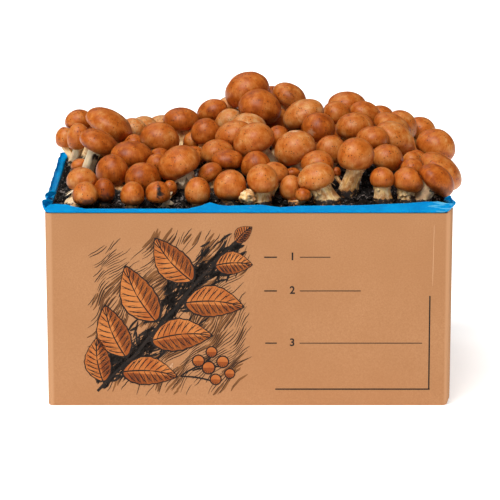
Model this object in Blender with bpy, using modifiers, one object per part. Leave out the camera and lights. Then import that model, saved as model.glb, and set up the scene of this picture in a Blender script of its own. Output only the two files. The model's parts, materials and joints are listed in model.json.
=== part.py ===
"""A chestnut mushroom grow kit, as solids.

An open carton of kraft board holds a blue polythene liner, a block of compost and a layer of peat, and a
flush of brown mushrooms stands on the peat. Metres, +Z up. The front panel faces -Y, and the origin is the
centre of the carton's underside.
"""

import math

import bmesh
import bpy
import numpy as np
from mathutils import Vector, noise
from mathutils.bvhtree import BVHTree

MM = 0.001
GAP = 0.3 * MM

# Carton
CARTON_WIDTH = 400 * MM
CARTON_DEPTH = 300 * MM
CARTON_HEIGHT = 195 * MM
BOARD = 4 * MM
CARTON_CORNER = 5.5 * MM
CARTON_TAPER = 1 * MM

# Liner
FILM = 0.8 * MM
LINER_CORNER = 7 * MM
LINER_SHOULDER = 2.5 * MM
LINER_RISE = 5 * MM
LINER_OVERHANG = 1.6 * MM
LINER_WAVE = 1.2 * MM
LINER_CORNER_STEPS = 2
# The front corners of its edge are pulled out this far over this reach, more to the side than to the front.
CORNER_REACH = 8 * MM
CORNER_PULL = 3 * MM
CORNER_FORWARD = 0.6
SAG_PLACE = (200 * MM, -78 * MM)
SAG_LENGTH = 60 * MM
SAG_DEPTH = 6 * MM
# How many stretches the back, left, front and right sides of its loop are divided into.
LINER_STEPS = (5, 4, 16, 4)
# Height of the liner's front edge over the carton's rim: (x, height) in millimetres, left to right.
FRONT_EDGE = (
    (-200, 13), (-190, 9), (-176, 8), (-166, 5), (-60, 5), (-47, 8), (-38, 11.5), (-30, 9), (-22, 8),
    (11, 9), (30, 6.5), (50, 8), (110, 8.5), (130, 9.5), (155, 10.5), (172, 12), (190, 13), (200, 13),
)

# Filling
COMPOST_TOP = 148 * MM
PEAT_AT_FRONT = -6 * MM
PEAT_AT_BACK = 4 * MM
PEAT_BANK = 12 * MM
PEAT_BANK_WIDTH = 30 * MM
PEAT_MOUND = 15 * MM
PEAT_MOUND_CENTRE = Vector((15 * MM, 55 * MM))
PEAT_MOUND_RADIUS = 95 * MM
PEAT_CLODS = 2 * MM
PEAT_COLUMNS = 15
PEAT_ROWS = 11

# Mushrooms
# The flush is sighted from EYE: a mushroom's row says where the middle of its cap is seen on the plane of
# the front panel, so the cap itself is farther back on the line from EYE through that point.
EYE = Vector((1 * MM, -3200 * MM, 825 * MM))
FRONT = -CARTON_DEPTH / 2
NEAREST = 14 * MM
FARTHEST = 286 * MM
# Caps stand this share of their summed reaches apart, and each round moves them part of the way there.
SNUG = 0.94
EASE_ROUNDS = 120
EASE_SHARE = 0.25
# Stems: half width as a share of the cap's width, spread of the foot, and how near feet stand to each other.
STEM_SHARE = 0.25
FOOT_FLARE = 1.2
SHARED_FOOT = 0.6
FOOT_SPACE = 1.5 * MM
FOOT_ROUNDS = 80
LEAN_TO_FOOT = 0.6
SHORTEST_STEM = 3 * MM
STEM_MARGIN = 1.2 * MM
# Neighbours give way to each other along the best of this many directions.
DIRECTIONS = 240
COMPASS_POINTS = 8
SIDES = 8
SMALL_SIDES = 6
SMALL_CAP = 25 * MM
# The rings' corners stand a little outside the round that they stand for.
ROUNDING = 1.03
# How far from round the rings are, in two waves and in three.
OVAL = 0.03
THREE_SIDED = 0.02
# Rings of a cap from the top down: (share of its half width, share of its half height). The stem's neck and
# foot follow.
CAP_RINGS = ((0.0, 1.0), (0.62, 0.80), (0.95, 0.30), (1.0, -0.18), (0.78, -0.74))
NECK_DROP = -0.80

# The clumps of the flush. Each mushroom is a row in millimetres and degrees: where the middle of its cap is
# seen, to the right of the carton's middle and above its rim; how far back it stands; the cap's width and
# height; how far it leans to the right; and how far the foot stands to the right of where the lean puts it.
FLUSH = {
    "a1_a2": ((-178, 76, 243, 21, 21, 0, 8), (-166, 76.5, 222, 23, 27, 0, 4)),
    "a3_a4": ((-165.5, 93, 255, 27, 21, -10, 0), (-134.5, 89, 212, 49, 27, 30, 0)),
    "a5_a13": ((-145.6, 71.5, 148, 40, 23, 25, 0), (-166, 49, 168, 17, 11, -20, 0)),
    "a6": ((-113.5, 59, 122, 42, 27, 8, 0),),
    "a7_a8": ((-133.4, 43.5, 78, 32, 30.5, 0, 0), (-103.4, 37, 66, 36, 28, 5, 0)),
    "a9_a10": ((-163, 34.2, 45, 30, 24, 5, -13), (-160, 20, 17, 25, 24, 0, -4)),
    "a11": ((-142, 19, 36, 22, 24, 0, 0),),
    "a12": ((-114, 20, 24, 24, 24, 0, 0),),
    "b1_b2": ((-113, 85, 235, 27, 20, 0, 0), (-102, 87, 262, 28, 20, 0, 0)),
    "b3_h3": ((-84, 88, 268, 31, 20, 0, 0), (-58, 85, 282, 30, 22, 0, 0)),
    "b4": ((-86, 76, 168, 38, 29.5, 15, 0), (-92, 61, 200, 24, 18, 0, 0)),
    "b5_b9": ((-66, 93.8, 212, 35, 23.5, 0, 0), (-55, 72.5, 192, 19, 18, 0, 0)),
    "b6_b7": ((-36, 103, 240, 30, 21, -20, 0), (-20, 106, 264, 24, 20, 0, 0)),
    "b8": ((-42, 81.5, 170, 29, 27, 0, 0), (-54, 56, 150, 24, 18, 0, 0)),
    "b10": ((-21, 93, 222, 27, 21, -35, 0),),
    "b11_b12": ((-1, 88, 184, 36, 24, 0, 0), (-16, 80, 158, 36, 24, -20, 0)),
    "b13_c8": ((4, 74.5, 124, 42, 31, -25, 4), (28.5, 76.5, 146, 22, 22, 0, 0)),
    "b14_b15": ((-31, 62, 118, 34, 24, 0, 0), (-21, 54, 94, 31, 20, 0, 0)),
    "b17": ((-69, 51.5, 66, 44, 31, -30, -6),),
    "b18_b19": ((-89.5, 51, 104, 21, 17, 0, 0), (-87, 57.5, 128, 22, 16, 0, 0)),
    "b20": ((-39, 41, 72, 25, 18, -30, 0),),
    "b21": ((-50, 23, 30, 26, 27, 0, 0),),
    "b22_b23": ((-89, 21, 28, 24, 22, 0, 2), (-77, 26, 50, 14, 16, 0, 0)),
    "b24": ((-18, 28.5, 34, 32, 31, 0, 0),),
    "b25": ((-112, 71.5, 186, 20, 15, 0, 0),),
    "c1": ((-3, 123.5, 236, 43, 33, -25, 4),),
    "c2": ((11, 107, 196, 43, 33, 15, 0),),
    "c3_c4": ((22, 116.5, 262, 22, 20, 0, 0), (40.5, 117, 236, 36, 23, 30, 0)),
    "c5_c6": ((28, 92.5, 214, 25, 25, 0, 0), (52, 99.3, 182, 43, 27, -25, 0), (30, 80, 232, 24, 20, 0, 0)),
    "c7": ((67, 86, 150, 34, 29, -10, 0), (72, 71, 200, 24, 18, 0, 0)),
    "c9": ((44, 66, 100, 43, 33, -25, 0),),
    "c10": ((7, 49, 82, 29, 27, 0, 0),),
    "c11_c12": ((13, 35, 32, 32, 29, 0, 2), (25, 41, 60, 27, 21, 5, 0), (-2, 15, 20, 15, 13, 0, 6)),
    "c13_c15": ((41, 26, 42, 22, 25, 0, 0), (53, 19, 22, 16, 14, 0, 0)),
    "c14_d7": ((43, 41, 84, 14, 10, 0, 4), (67, 51, 74, 33, 24, 0, 0)),
    "d1_d2": ((95, 110.3, 265, 36, 22, 0, 0), (86, 100, 232, 29, 22, 25, 0)),
    "d3_e1": ((114, 100, 238, 32, 22, 25, 0), (127.5, 97.5, 268, 28, 20, 0, 0)),
    "d4_d13": ((103, 87, 178, 37, 27, 0, 0), (82, 80, 204, 20, 17, 0, 0)),
    "d5": ((80, 64, 116, 30, 28, 0, 0), (60, 51, 138, 22, 18, 0, 0)),
    "d6_d9": ((104, 59.5, 58, 36, 32.5, 0, -6), (85, 42, 72, 10, 9, 0, 8)),
    "d8": ((65, 37.3, 35, 37, 27, -20, 6),),
    "d10": ((120.5, 75.5, 140, 32, 23, 0, 0), (112, 59, 175, 24, 18, 0, 0)),
    "d11": ((130, 36, 40, 24, 21, 0, 1),),
    "d12": ((135.5, 56, 95, 32, 26, 15, 0),),
    "e2_e3": ((140, 88, 198, 38, 22, 25, 0), (149, 88.5, 224, 33, 27, 40, 0), (154, 64, 200, 22, 17, 0, 0)),
    "e4_h9": ((168, 84, 242, 30, 24, 25, 0), (184, 69.5, 268, 26, 22, 10, 0)),
    "e5": ((143, 75.5, 150, 44.5, 29, 35, 4),),
    "e6": ((183, 68.5, 170, 39, 31, 25, -6),),
    "e7_e12": ((188.5, 43.3, 92, 48, 28, 40, -8), (159, 46, 84, 24, 18, 0, 0)),
    "e8_e9": ((184, 34.5, 50, 40, 26, 40, 0), (156, 34, 44, 30, 25, 15, 0)),
    "e10_e11": ((159, 53, 120, 20, 18, 0, 0), (163, 54.5, 140, 20, 18, 0, 0)),
    "h1_h2": ((-150, 79.5, 280, 28, 22, 0, 0), (-124, 82.5, 282, 28, 22, 0, 0)),
    "h4_h5": ((-32, 91, 284, 28, 22, 0, 0), (4, 99, 284, 32, 24, 0, 0)),
    "h6_h7": ((40, 97, 284, 30, 24, 0, 0), (68, 92, 276, 28, 22, 0, 0)),
    "h8": ((155, 77.5, 278, 30, 22, 0, 0),),
}
# Stems thicker or thinner than the rest, by the clump's name and the row: half width, as a share of the cap's width.
THICK_STEMS = {
    ("d6_d9", 0): 0.25, ("d8", 0): 0.31, ("d11", 0): 0.34, ("e8_e9", 1): 0.29, ("a5_a13", 0): 0.17, ("b17", 0): 0.21,
}


def clear_scene():
    for old in list(bpy.data.objects):
        bpy.data.objects.remove(old, do_unlink=True)


def make_collection(name):
    made = bpy.data.collections.new(name)
    bpy.context.scene.collection.children.link(made)
    return made


def make_material(name, colour, roughness):
    material = bpy.data.materials.new(name)
    material.use_nodes = True
    shader = material.node_tree.nodes["Principled BSDF"]
    shader.inputs["Base Color"].default_value = (*colour, 1.0)
    shader.inputs["Roughness"].default_value = roughness
    return material


def make_object(name, bm, material, collection):
    """An object with its own material from a bmesh, which is freed."""
    bmesh.ops.recalc_face_normals(bm, faces=bm.faces)
    mesh = bpy.data.meshes.new(name)
    bm.to_mesh(mesh)
    bm.free()
    mesh.materials.append(material)
    made = bpy.data.objects.new(name, mesh)
    collection.objects.link(made)
    return made


def rounded_rectangle(half_x, half_y, radius, steps, corner_steps):
    """Points round a rounded rectangle, anticlockwise from its right back corner.

    steps holds how many stretches the back, left, front and right sides are divided into.
    """
    corners = ((1, 1), (-1, 1), (-1, -1), (1, -1))
    halves = (half_x, half_y, half_x, half_y)
    points = []
    for turn, ((sx, sy), half) in enumerate(zip(corners, halves)):
        middle = Vector((sx * (half_x - radius), sy * (half_y - radius)))
        for i in range(corner_steps + 1):
            angle = math.radians(90 * (turn + i / corner_steps))
            points.append(middle + radius * Vector((math.cos(angle), math.sin(angle))))
        ahead = Vector((-math.sin(angle), math.cos(angle)))
        stretch = 2 * (half - radius) / steps[turn]
        start = points[-1]
        points += [start + ahead * stretch * i for i in range(1, steps[turn])]
    return points


def inner_half(half, height):
    """Half the carton's clear width or depth at a height."""
    return half - BOARD - CARTON_TAPER * (1 - height / CARTON_HEIGHT)


def carton(material, collection):
    """An open box that narrows a little to its base, with rounded upright folds."""
    bm = bmesh.new()
    bmesh.ops.create_cube(bm, size=1.0)
    bmesh.ops.scale(bm, verts=bm.verts, vec=(CARTON_WIDTH, CARTON_DEPTH, CARTON_HEIGHT))
    bmesh.ops.translate(bm, verts=bm.verts, vec=(0, 0, CARTON_HEIGHT / 2))
    for vert in bm.verts:
        if vert.co.z < CARTON_HEIGHT / 2:
            vert.co.x -= math.copysign(CARTON_TAPER, vert.co.x)
            vert.co.y -= math.copysign(CARTON_TAPER, vert.co.y)
    folds = [e for e in bm.edges if abs(e.verts[0].co.z - e.verts[1].co.z) > CARTON_HEIGHT / 2]
    bmesh.ops.bevel(bm, geom=folds, offset=CARTON_CORNER, segments=3, profile=0.5, affect="EDGES")
    top = [f for f in bm.faces if f.normal.z > 0.9]
    bmesh.ops.delete(bm, geom=top, context="FACES_ONLY")
    made = make_object("carton", bm, material, collection)
    board = made.modifiers.new("board", "SOLIDIFY")
    board.thickness = BOARD
    board.offset = -1
    board.use_even_offset = True
    return made


def liner_rise(point):
    """Height of the liner's edge over the rim at a point of its loop."""
    if point.y < FRONT + LINER_CORNER:
        places, heights = zip(*FRONT_EDGE)
        return float(np.interp(point.x / MM, places, heights)) * MM
    wave = LINER_WAVE * math.sin(point.x / (17 * MM)) * math.cos(point.y / (13 * MM))
    sag = SAG_DEPTH * math.exp(-(((point - Vector(SAG_PLACE)).length / SAG_LENGTH) ** 2))
    return LINER_RISE + wave - sag


def raise_loop(bm, ring, places, heights):
    """Extrudes a closed ring of vertices onto places and heights. Returns the new ring in its order."""
    edges = [bm.edges.get(pair) for pair in zip(ring, ring[1:] + ring[:1])]
    made = set(bmesh.ops.extrude_edge_only(bm, edges=edges)["geom"])
    twins = [next(e.other_vert(v) for e in v.link_edges if e.other_vert(v) in made) for v in ring]
    for twin, place, height in zip(twins, places, heights):
        twin.co = (place.x, place.y, height)
    return twins


def liner(material, collection):
    """A bag of film that stands in the carton and leans out over its rim."""
    shoulder = CARTON_HEIGHT + 2 * GAP
    rows = (
        (BOARD + GAP, inner_half(CARTON_WIDTH / 2, 0) - 2 * GAP, inner_half(CARTON_DEPTH / 2, 0) - 2 * GAP),
        (shoulder, CARTON_WIDTH / 2 - BOARD - GAP, CARTON_DEPTH / 2 - BOARD - GAP),
        (shoulder + LINER_SHOULDER, CARTON_WIDTH / 2 - GAP, CARTON_DEPTH / 2 - GAP),
    )
    loops = [rounded_rectangle(x, y, LINER_CORNER, LINER_STEPS, LINER_CORNER_STEPS) for _, x, y in rows]
    brim_x = CARTON_WIDTH / 2 + LINER_OVERHANG
    brim_y = CARTON_DEPTH / 2 + LINER_OVERHANG
    brim = rounded_rectangle(brim_x, brim_y, LINER_CORNER, LINER_STEPS, LINER_CORNER_STEPS)
    for point in brim:
        into_corner = min(abs(point.x) - CARTON_WIDTH / 2, abs(point.y) - CARTON_DEPTH / 2) + CORNER_REACH
        if into_corner > 0 > point.y:
            outward = Vector((math.copysign(1, point.x), -CORNER_FORWARD))
            point += CORNER_PULL * into_corner / CORNER_REACH * outward
    bm = bmesh.new()
    ring = [bm.verts.new((p.x, p.y, rows[0][0])) for p in loops[0]]
    edges = [bm.edges.new(pair) for pair in zip(ring, ring[1:] + ring[:1])]
    bmesh.ops.edgeloop_fill(bm, edges=edges)
    for (height, _, _), loop in zip(rows[1:], loops[1:]):
        ring = raise_loop(bm, ring, loop, [height] * len(loop))
    raise_loop(bm, ring, brim, [CARTON_HEIGHT + liner_rise(p) for p in brim])
    made = make_object("liner", bm, material, collection)
    film = made.modifiers.new("film", "SOLIDIFY")
    film.thickness = FILM
    film.offset = -1
    return made


def compost_block(material, collection):
    """The filling, pressed against the liner's sides."""
    clear = FILM + 3 * GAP
    width = 2 * (inner_half(CARTON_WIDTH / 2, 0) - clear)
    depth = 2 * (inner_half(CARTON_DEPTH / 2, 0) - clear)
    low = BOARD + FILM + 2 * GAP
    bm = bmesh.new()
    bmesh.ops.create_cube(bm, size=1.0)
    bmesh.ops.scale(bm, verts=bm.verts, vec=(width, depth, COMPOST_TOP - low))
    bmesh.ops.translate(bm, verts=bm.verts, vec=(0, 0, (COMPOST_TOP + low) / 2))
    upright = [e for e in bm.edges if abs(e.verts[0].co.z - e.verts[1].co.z) > COMPOST_TOP / 2]
    bmesh.ops.bevel(bm, geom=upright, offset=LINER_CORNER, segments=2, profile=0.5, affect="EDGES")
    return make_object("compost_block", bm, material, collection)


def peat_height(x, y, half_x, half_y):
    """Height of the peat over the carton's rim: banked up from its edges, with a mound behind the middle."""
    from_edge = max(0.0, min(half_x - abs(x), half_y - abs(y)))
    bank = PEAT_BANK * (1 - math.exp(-((from_edge / PEAT_BANK_WIDTH) ** 2)))
    away = (Vector((x, y)) - PEAT_MOUND_CENTRE).length / PEAT_MOUND_RADIUS
    mound = PEAT_MOUND * math.exp(-(away**2)) * bank / PEAT_BANK
    clods = PEAT_CLODS * noise.noise(Vector((x, y, 0)) / (28 * MM))
    edge = PEAT_AT_FRONT + (PEAT_AT_BACK - PEAT_AT_FRONT) * (y + half_y) / (2 * half_y)
    return edge + bank + mound + clods


def peat_casing(material, collection):
    """The layer of peat over the compost, uneven on top. Returns a tree for finding its surface."""
    half_x = inner_half(CARTON_WIDTH / 2, COMPOST_TOP) - FILM - 4 * GAP
    half_y = inner_half(CARTON_DEPTH / 2, COMPOST_TOP) - FILM - 4 * GAP
    low = COMPOST_TOP + GAP
    bm = bmesh.new()
    bmesh.ops.create_grid(bm, x_segments=PEAT_COLUMNS, y_segments=PEAT_ROWS, size=1.0)
    for vert in bm.verts:
        in_corner = abs(vert.co.x) > 0.99 and abs(vert.co.y) > 0.99
        inset = LINER_CORNER / 2 if in_corner else 0
        x = vert.co.x * (half_x - inset)
        y = vert.co.y * (half_y - inset)
        vert.co = (x, y, CARTON_HEIGHT + peat_height(x, y, half_x, half_y))
    tree = BVHTree.FromBMesh(bm)
    rim = [e for e in bm.edges if e.is_boundary]
    made = bmesh.ops.extrude_edge_only(bm, edges=rim)["geom"]
    for vert in made:
        if isinstance(vert, bmesh.types.BMVert):
            vert.co.z = low
    bmesh.ops.edgeloop_fill(bm, edges=[e for e in bm.edges if e.is_boundary])
    make_object("peat_casing", bm, material, collection)
    return tree


def ground_under(tree, x, y):
    """Height of the peat at a place."""
    hit = tree.ray_cast(Vector((x, y, 1.0)), Vector((0, 0, -1)))[0]
    return hit.z if hit else CARTON_HEIGHT


def sighted(x, z, back):
    """The point that is seen at x and z on the front panel's plane and stands this far behind it."""
    seen = Vector((x, FRONT, CARTON_HEIGHT + z))
    return EYE + (seen - EYE) * (1 + back / (FRONT - EYE.y))


class Mushroom:
    """One cap and its stem. The cap is a squat ellipsoid about its axis, the stem goes down to the foot."""

    def __init__(self, clump, row, numbers):
        *lengths, degrees, aside = numbers
        x, z, back, width, height = (length * MM for length in lengths)
        self.clump = clump
        self.seen = (x, z)
        self.back = back
        self.lean = math.radians(degrees)
        self.axis = Vector((math.sin(self.lean), 0, math.cos(self.lean)))
        self.foot_shift = aside * MM
        farther = 1 + back / (FRONT - EYE.y)
        self.half_width = width / 2 * farther
        # The cap is seen from a little above, so part of the height that is seen is its depth.
        slope = (EYE.z - CARTON_HEIGHT) / (FRONT - EYE.y)
        from_depth = width / 2 * slope
        own_square = max((height / 2) ** 2 - from_depth**2, (height / 3) ** 2)
        self.half_height = math.sqrt(own_square) * farther
        self.stem = THICK_STEMS.get((clump, row), STEM_SHARE) * width * farther
        self.sides = SIDES if width >= SMALL_CAP else SMALL_SIDES

    def place(self):
        self.centre = sighted(*self.seen, self.back)

    def reach(self, ahead):
        """How far the cap reaches from its centre in a direction."""
        along = ahead.dot(self.axis)
        return 1 / math.sqrt((1 - along**2) / self.half_width**2 + along**2 / self.half_height**2)


def ease_apart(flush):
    """Moves caps that press into each other apart along their lines of sight, which keeps their order."""
    for _ in range(EASE_ROUNDS):
        for mushroom in flush:
            mushroom.place()
        for i, one in enumerate(flush):
            for other in flush[i + 1 :]:
                apart = other.centre - one.centre
                if apart.length > one.half_width + other.half_width:
                    continue
                ahead = apart.normalized()
                room = SNUG * (one.reach(ahead) + other.reach(ahead))
                if apart.length >= room:
                    continue
                aside = apart.length**2 - apart.y**2
                wanted = math.sqrt(max(room**2 - aside, 0))
                shift = EASE_SHARE * (wanted - abs(apart.y)) * math.copysign(1, apart.y)
                one.back -= shift
                other.back += shift
        for mushroom in flush:
            mushroom.back = min(max(mushroom.back, NEAREST), FARTHEST)


def plant(flush, tree):
    """Sets the feet on the peat: a clump's feet are grown together, other feet are clear of each other."""
    limit = Vector((CARTON_WIDTH / 2 - BOARD - FILM, CARTON_DEPTH / 2 - BOARD - FILM))
    for mushroom in flush:
        drop = mushroom.centre.z - ground_under(tree, mushroom.centre.x, mushroom.centre.y)
        aside = mushroom.foot_shift - LEAN_TO_FOOT * drop * math.tan(mushroom.lean)
        mushroom.foot = Vector((mushroom.centre.x + aside, mushroom.centre.y))
    for _ in range(FOOT_ROUNDS):
        for i, one in enumerate(flush):
            for other in flush[i + 1 :]:
                apart = other.foot - one.foot
                both = FOOT_FLARE * (one.stem + other.stem)
                if one.clump == other.clump:
                    shift = min(SHARED_FOOT * both - apart.length, 0)
                else:
                    shift = max(both + FOOT_SPACE - apart.length, 0)
                one.foot -= apart.normalized() * shift / 2
                other.foot += apart.normalized() * shift / 2
        for mushroom in flush:
            margin = FOOT_FLARE * ROUNDING * mushroom.stem + FOOT_SPACE
            mushroom.foot.x = min(max(mushroom.foot.x, margin - limit.x), limit.x - margin)
            mushroom.foot.y = min(max(mushroom.foot.y, margin - limit.y), limit.y - margin)


def ring_points(centre, along, aside, radius, wobble):
    """A ring of points about a centre, in the plane of two directions, with a factor for each point."""
    angles = np.arange(len(wobble)) * 2 * math.pi / len(wobble)
    outward = np.outer(np.cos(angles), along) + np.outer(np.sin(angles), aside)
    return np.array(centre) + outward * (radius * ROUNDING * wobble)[:, None]


def shape(mushroom, number, tree):
    """Works out a mushroom's rings of points from the top down, and the centre that each may draw in to."""
    angles = np.arange(mushroom.sides) * 2 * math.pi / mushroom.sides
    wobble = 1 + OVAL * np.sin(2 * angles + 3.1 * number) + THREE_SIDED * np.sin(3 * angles + 1.7 * number)
    axis = mushroom.axis
    across = Vector((axis.z, 0, -axis.x))
    back = Vector((0, 1, 0))
    spots = [mushroom.foot]
    for point in range(COMPASS_POINTS):
        angle = 2 * math.pi * point / COMPASS_POINTS
        ahead = Vector((math.cos(angle), math.sin(angle)))
        spots.append(mushroom.foot + FOOT_FLARE * mushroom.stem * ahead)
    floor = max(ground_under(tree, spot.x, spot.y) for spot in spots) + GAP
    low = floor + SHORTEST_STEM - NECK_DROP * mushroom.half_height
    mushroom.centre.z = max(mushroom.centre.z, low)
    rings = []
    for wide, drop in CAP_RINGS:
        middle = mushroom.centre + axis * drop * mushroom.half_height
        rings.append(ring_points(middle, across, back, wide * mushroom.half_width, wobble))
    neck = mushroom.centre + axis * NECK_DROP * mushroom.half_height
    foot = Vector((*mushroom.foot, floor))
    rings.append(ring_points(neck, across, back, mushroom.stem, wobble))
    rings.append(ring_points(foot, Vector((1, 0, 0)), back, FOOT_FLARE * mushroom.stem, wobble))
    mushroom.points = np.array(rings)
    mushroom.centres = np.array([mushroom.centre] * len(CAP_RINGS) + [neck, foot])


def draw_in(mushroom, rings, normal, limit):
    """Draws the points past a plane in towards their ring's centre until they lie on it."""
    for ring in rings:
        centre = mushroom.centres[ring]
        past = mushroom.points[ring] @ normal - limit
        depth = mushroom.points[ring] @ normal - centre @ normal
        share = np.where(past > 0, 1 - past / np.maximum(depth, 1e-9), 1)
        mushroom.points[ring] = centre + (mushroom.points[ring] - centre) * share[:, None]


def part_pair(one, rings, other, other_rings, normals):
    """Draws two stretches of two mushrooms in to both sides of a plane, if they meet. False if it can't."""
    points = one.points[rings].reshape(-1, 3)
    other_points = other.points[other_rings].reshape(-1, 3)
    beyond = (points.min(0) > other_points.max(0) + GAP).any()
    before = (other_points.min(0) > points.max(0) + GAP).any()
    if beyond or before:
        return True
    high = (points @ normals.T).max(0)
    low = (other_points @ normals.T).min(0)
    meeting = high - low + GAP
    if meeting.min() <= 0:
        return True
    inner_high = (one.centres[rings] @ normals.T).max(0)
    inner_low = (other.centres[other_rings] @ normals.T).min(0)
    meeting = np.where(inner_low - inner_high > 2 * STEM_MARGIN, meeting, np.inf)
    best = int(meeting.argmin())
    if not np.isfinite(meeting[best]):
        return False
    middle = (high[best] + low[best]) / 2
    middle = min(max(middle, inner_high[best] + STEM_MARGIN), inner_low[best] - STEM_MARGIN)
    draw_in(one, rings, normals[best], middle - GAP / 2)
    draw_in(other, other_rings, -normals[best], -middle - GAP / 2)
    return True


def part_company(flush):
    """Makes every mushroom give way to its neighbours, as caps that grow together flatten each other."""
    turns = np.arange(DIRECTIONS)
    heights = 1 - (2 * turns + 1) / DIRECTIONS
    around = turns * math.pi * (3 - math.sqrt(5))
    flat = np.sqrt(1 - heights**2)
    normals = np.stack([flat * np.cos(around), flat * np.sin(around), heights], axis=1)
    neck = len(CAP_RINGS)
    cap = list(range(neck + 1))
    stem = [neck, neck + 1]
    for i, one in enumerate(flush):
        for other in flush[i + 1 :]:
            for rings, other_rings in ((cap, cap), (cap, stem), (stem, cap), (stem, stem)):
                if one.clump == other.clump and rings is stem and other_rings is stem:
                    continue
                if not part_pair(one, rings, other, other_rings, normals):
                    print("in each other's way:", one.clump, other.clump, rings, other_rings)


def clear_of_peat(mushroom, tree):
    """Lifts the cap's lowest points off the peat."""
    for ring in range(len(CAP_RINGS) + 1):
        for point in mushroom.points[ring]:
            point[2] = max(point[2], ground_under(tree, point[0], point[1]) + SHORTEST_STEM / 2)


def turned_lattice(sides):
    """A lattice of rings round the Z axis, whose heights count the rings and whose radius is 1."""
    bm = bmesh.new()
    radii = [0] + [1] * (len(CAP_RINGS) + 1) + [0]
    verts = [bm.verts.new((radius, 0, -height)) for height, radius in enumerate(radii)]
    for pair in zip(verts, verts[1:]):
        bm.edges.new(pair)
    mesh = bpy.data.meshes.new("lattice")
    bm.to_mesh(mesh)
    bm.free()
    holder = bpy.data.objects.new("lattice", mesh)
    bpy.context.scene.collection.objects.link(holder)
    turn = holder.modifiers.new("turn", "SCREW")
    turn.axis = "Z"
    turn.steps = sides
    turn.render_steps = sides
    turn.use_merge_vertices = True
    turn.merge_threshold = 0.1 * MM
    made = bpy.data.meshes.new_from_object(holder.evaluated_get(bpy.context.evaluated_depsgraph_get()))
    bpy.data.objects.remove(holder, do_unlink=True)
    return made


def mushroom_mesh(mushroom, lattice):
    """A bmesh of the lattice, carried to a mushroom's rings."""
    bm = bmesh.new()
    bm.from_mesh(lattice)
    for vert in bm.verts:
        ring = round(-vert.co.z)
        if ring == len(mushroom.points):
            vert.co = mushroom.points[-1].mean(0)
            continue
        side = round(math.atan2(vert.co.y, vert.co.x) / (2 * math.pi / mushroom.sides)) % mushroom.sides
        vert.co = mushroom.points[ring][side]
    return bm


def mushrooms(tree, material, collection, joined):
    """One object for each clump, whose stems are one body where they share a foot."""
    flush = []
    for clump, rows in FLUSH.items():
        flush += [Mushroom(clump, row, numbers) for row, numbers in enumerate(rows)]
    ease_apart(flush)
    plant(flush, tree)
    for number, mushroom in enumerate(flush):
        shape(mushroom, number, tree)
        clear_of_peat(mushroom, tree)
    part_company(flush)
    lattices = {sides: turned_lattice(sides) for sides in (SIDES, SMALL_SIDES)}
    clumps = {}
    for mushroom in flush:
        bm = mushroom_mesh(mushroom, lattices[mushroom.sides])
        if mushroom.clump not in clumps:
            clumps[mushroom.clump] = make_object("mushroom_" + mushroom.clump, bm, material, collection)
            continue
        first = clumps[mushroom.clump]
        added = make_object(first.name + "_added", bm, material, joined)
        added.hide_render = True
        added.display_type = "WIRE"
        join = first.modifiers.new("grown_together", "BOOLEAN")
        join.operation = "UNION"
        join.solver = "EXACT"
        join.object = added
    for lattice in lattices.values():
        bpy.data.meshes.remove(lattice)


def main():
    clear_scene()
    kit = make_collection("chestnut_mushroom_grow_kit")
    joined = make_collection("joined_shapes")
    kraft = make_material("kraft_board", (0.55, 0.27, 0.13), 0.9)
    film = make_material("blue_polythene", (0.0, 0.30, 0.73), 0.35)
    compost = make_material("compost", (0.07, 0.045, 0.03), 1.0)
    peat = make_material("peat", (0.012, 0.009, 0.007), 0.95)
    brown = make_material("brown_cap", (0.46, 0.13, 0.03), 0.45)
    carton(kraft, kit)
    liner(film, kit)
    compost_block(compost, kit)
    tree = peat_casing(peat, kit)
    mushrooms(tree, brown, kit, joined)


main()
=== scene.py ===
# %% [markdown]
# # A mushroom grow kit
#
# A blue polythene bag stands in it, with a block of compost under a layer of black peat, and brown
# mushrooms crowd on the peat.
#
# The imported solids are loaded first, as a frame that stays where it is. Each step then makes a finer piece
# in the place of a solid, in metres and in the solids' own axes: the printed front faces -Y and the origin
# is the middle of the carton's underside.

# %% Load the solids
import json
import math

import bmesh
import bpy
import numpy as np
from mathutils import Matrix, Vector, noise
from mathutils.bvhtree import BVHTree

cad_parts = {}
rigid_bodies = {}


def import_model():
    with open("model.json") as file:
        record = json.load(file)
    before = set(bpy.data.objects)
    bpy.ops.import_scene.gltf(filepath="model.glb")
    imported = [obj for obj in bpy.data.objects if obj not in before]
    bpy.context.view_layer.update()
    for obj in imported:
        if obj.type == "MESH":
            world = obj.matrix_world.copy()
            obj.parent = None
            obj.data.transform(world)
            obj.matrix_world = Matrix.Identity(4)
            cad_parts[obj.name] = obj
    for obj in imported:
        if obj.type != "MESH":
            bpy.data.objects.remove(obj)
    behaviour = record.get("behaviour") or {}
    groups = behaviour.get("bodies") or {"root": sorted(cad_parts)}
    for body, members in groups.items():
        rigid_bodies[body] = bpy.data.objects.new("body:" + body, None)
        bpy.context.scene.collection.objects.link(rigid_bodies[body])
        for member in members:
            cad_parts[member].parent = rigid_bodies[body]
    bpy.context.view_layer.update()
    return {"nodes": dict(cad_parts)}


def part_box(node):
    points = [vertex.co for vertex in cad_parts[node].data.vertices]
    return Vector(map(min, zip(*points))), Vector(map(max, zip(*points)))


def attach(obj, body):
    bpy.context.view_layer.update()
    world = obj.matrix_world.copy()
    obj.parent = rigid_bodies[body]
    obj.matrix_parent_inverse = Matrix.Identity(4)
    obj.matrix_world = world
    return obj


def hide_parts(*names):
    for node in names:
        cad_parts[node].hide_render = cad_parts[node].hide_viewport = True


for left_over in list(bpy.data.objects):
    bpy.data.objects.remove(left_over, do_unlink=True)
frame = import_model()
MM = 0.001


# %% [markdown]
# ## Camera
#
# The photograph was taken with a long lens, because the carton's sides hardly show and its edges run nearly
# parallel. A short lens nearby could frame the box as well, but it would fan the mushrooms out. The camera
# stands 3.2 m off and looks down a little.

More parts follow.
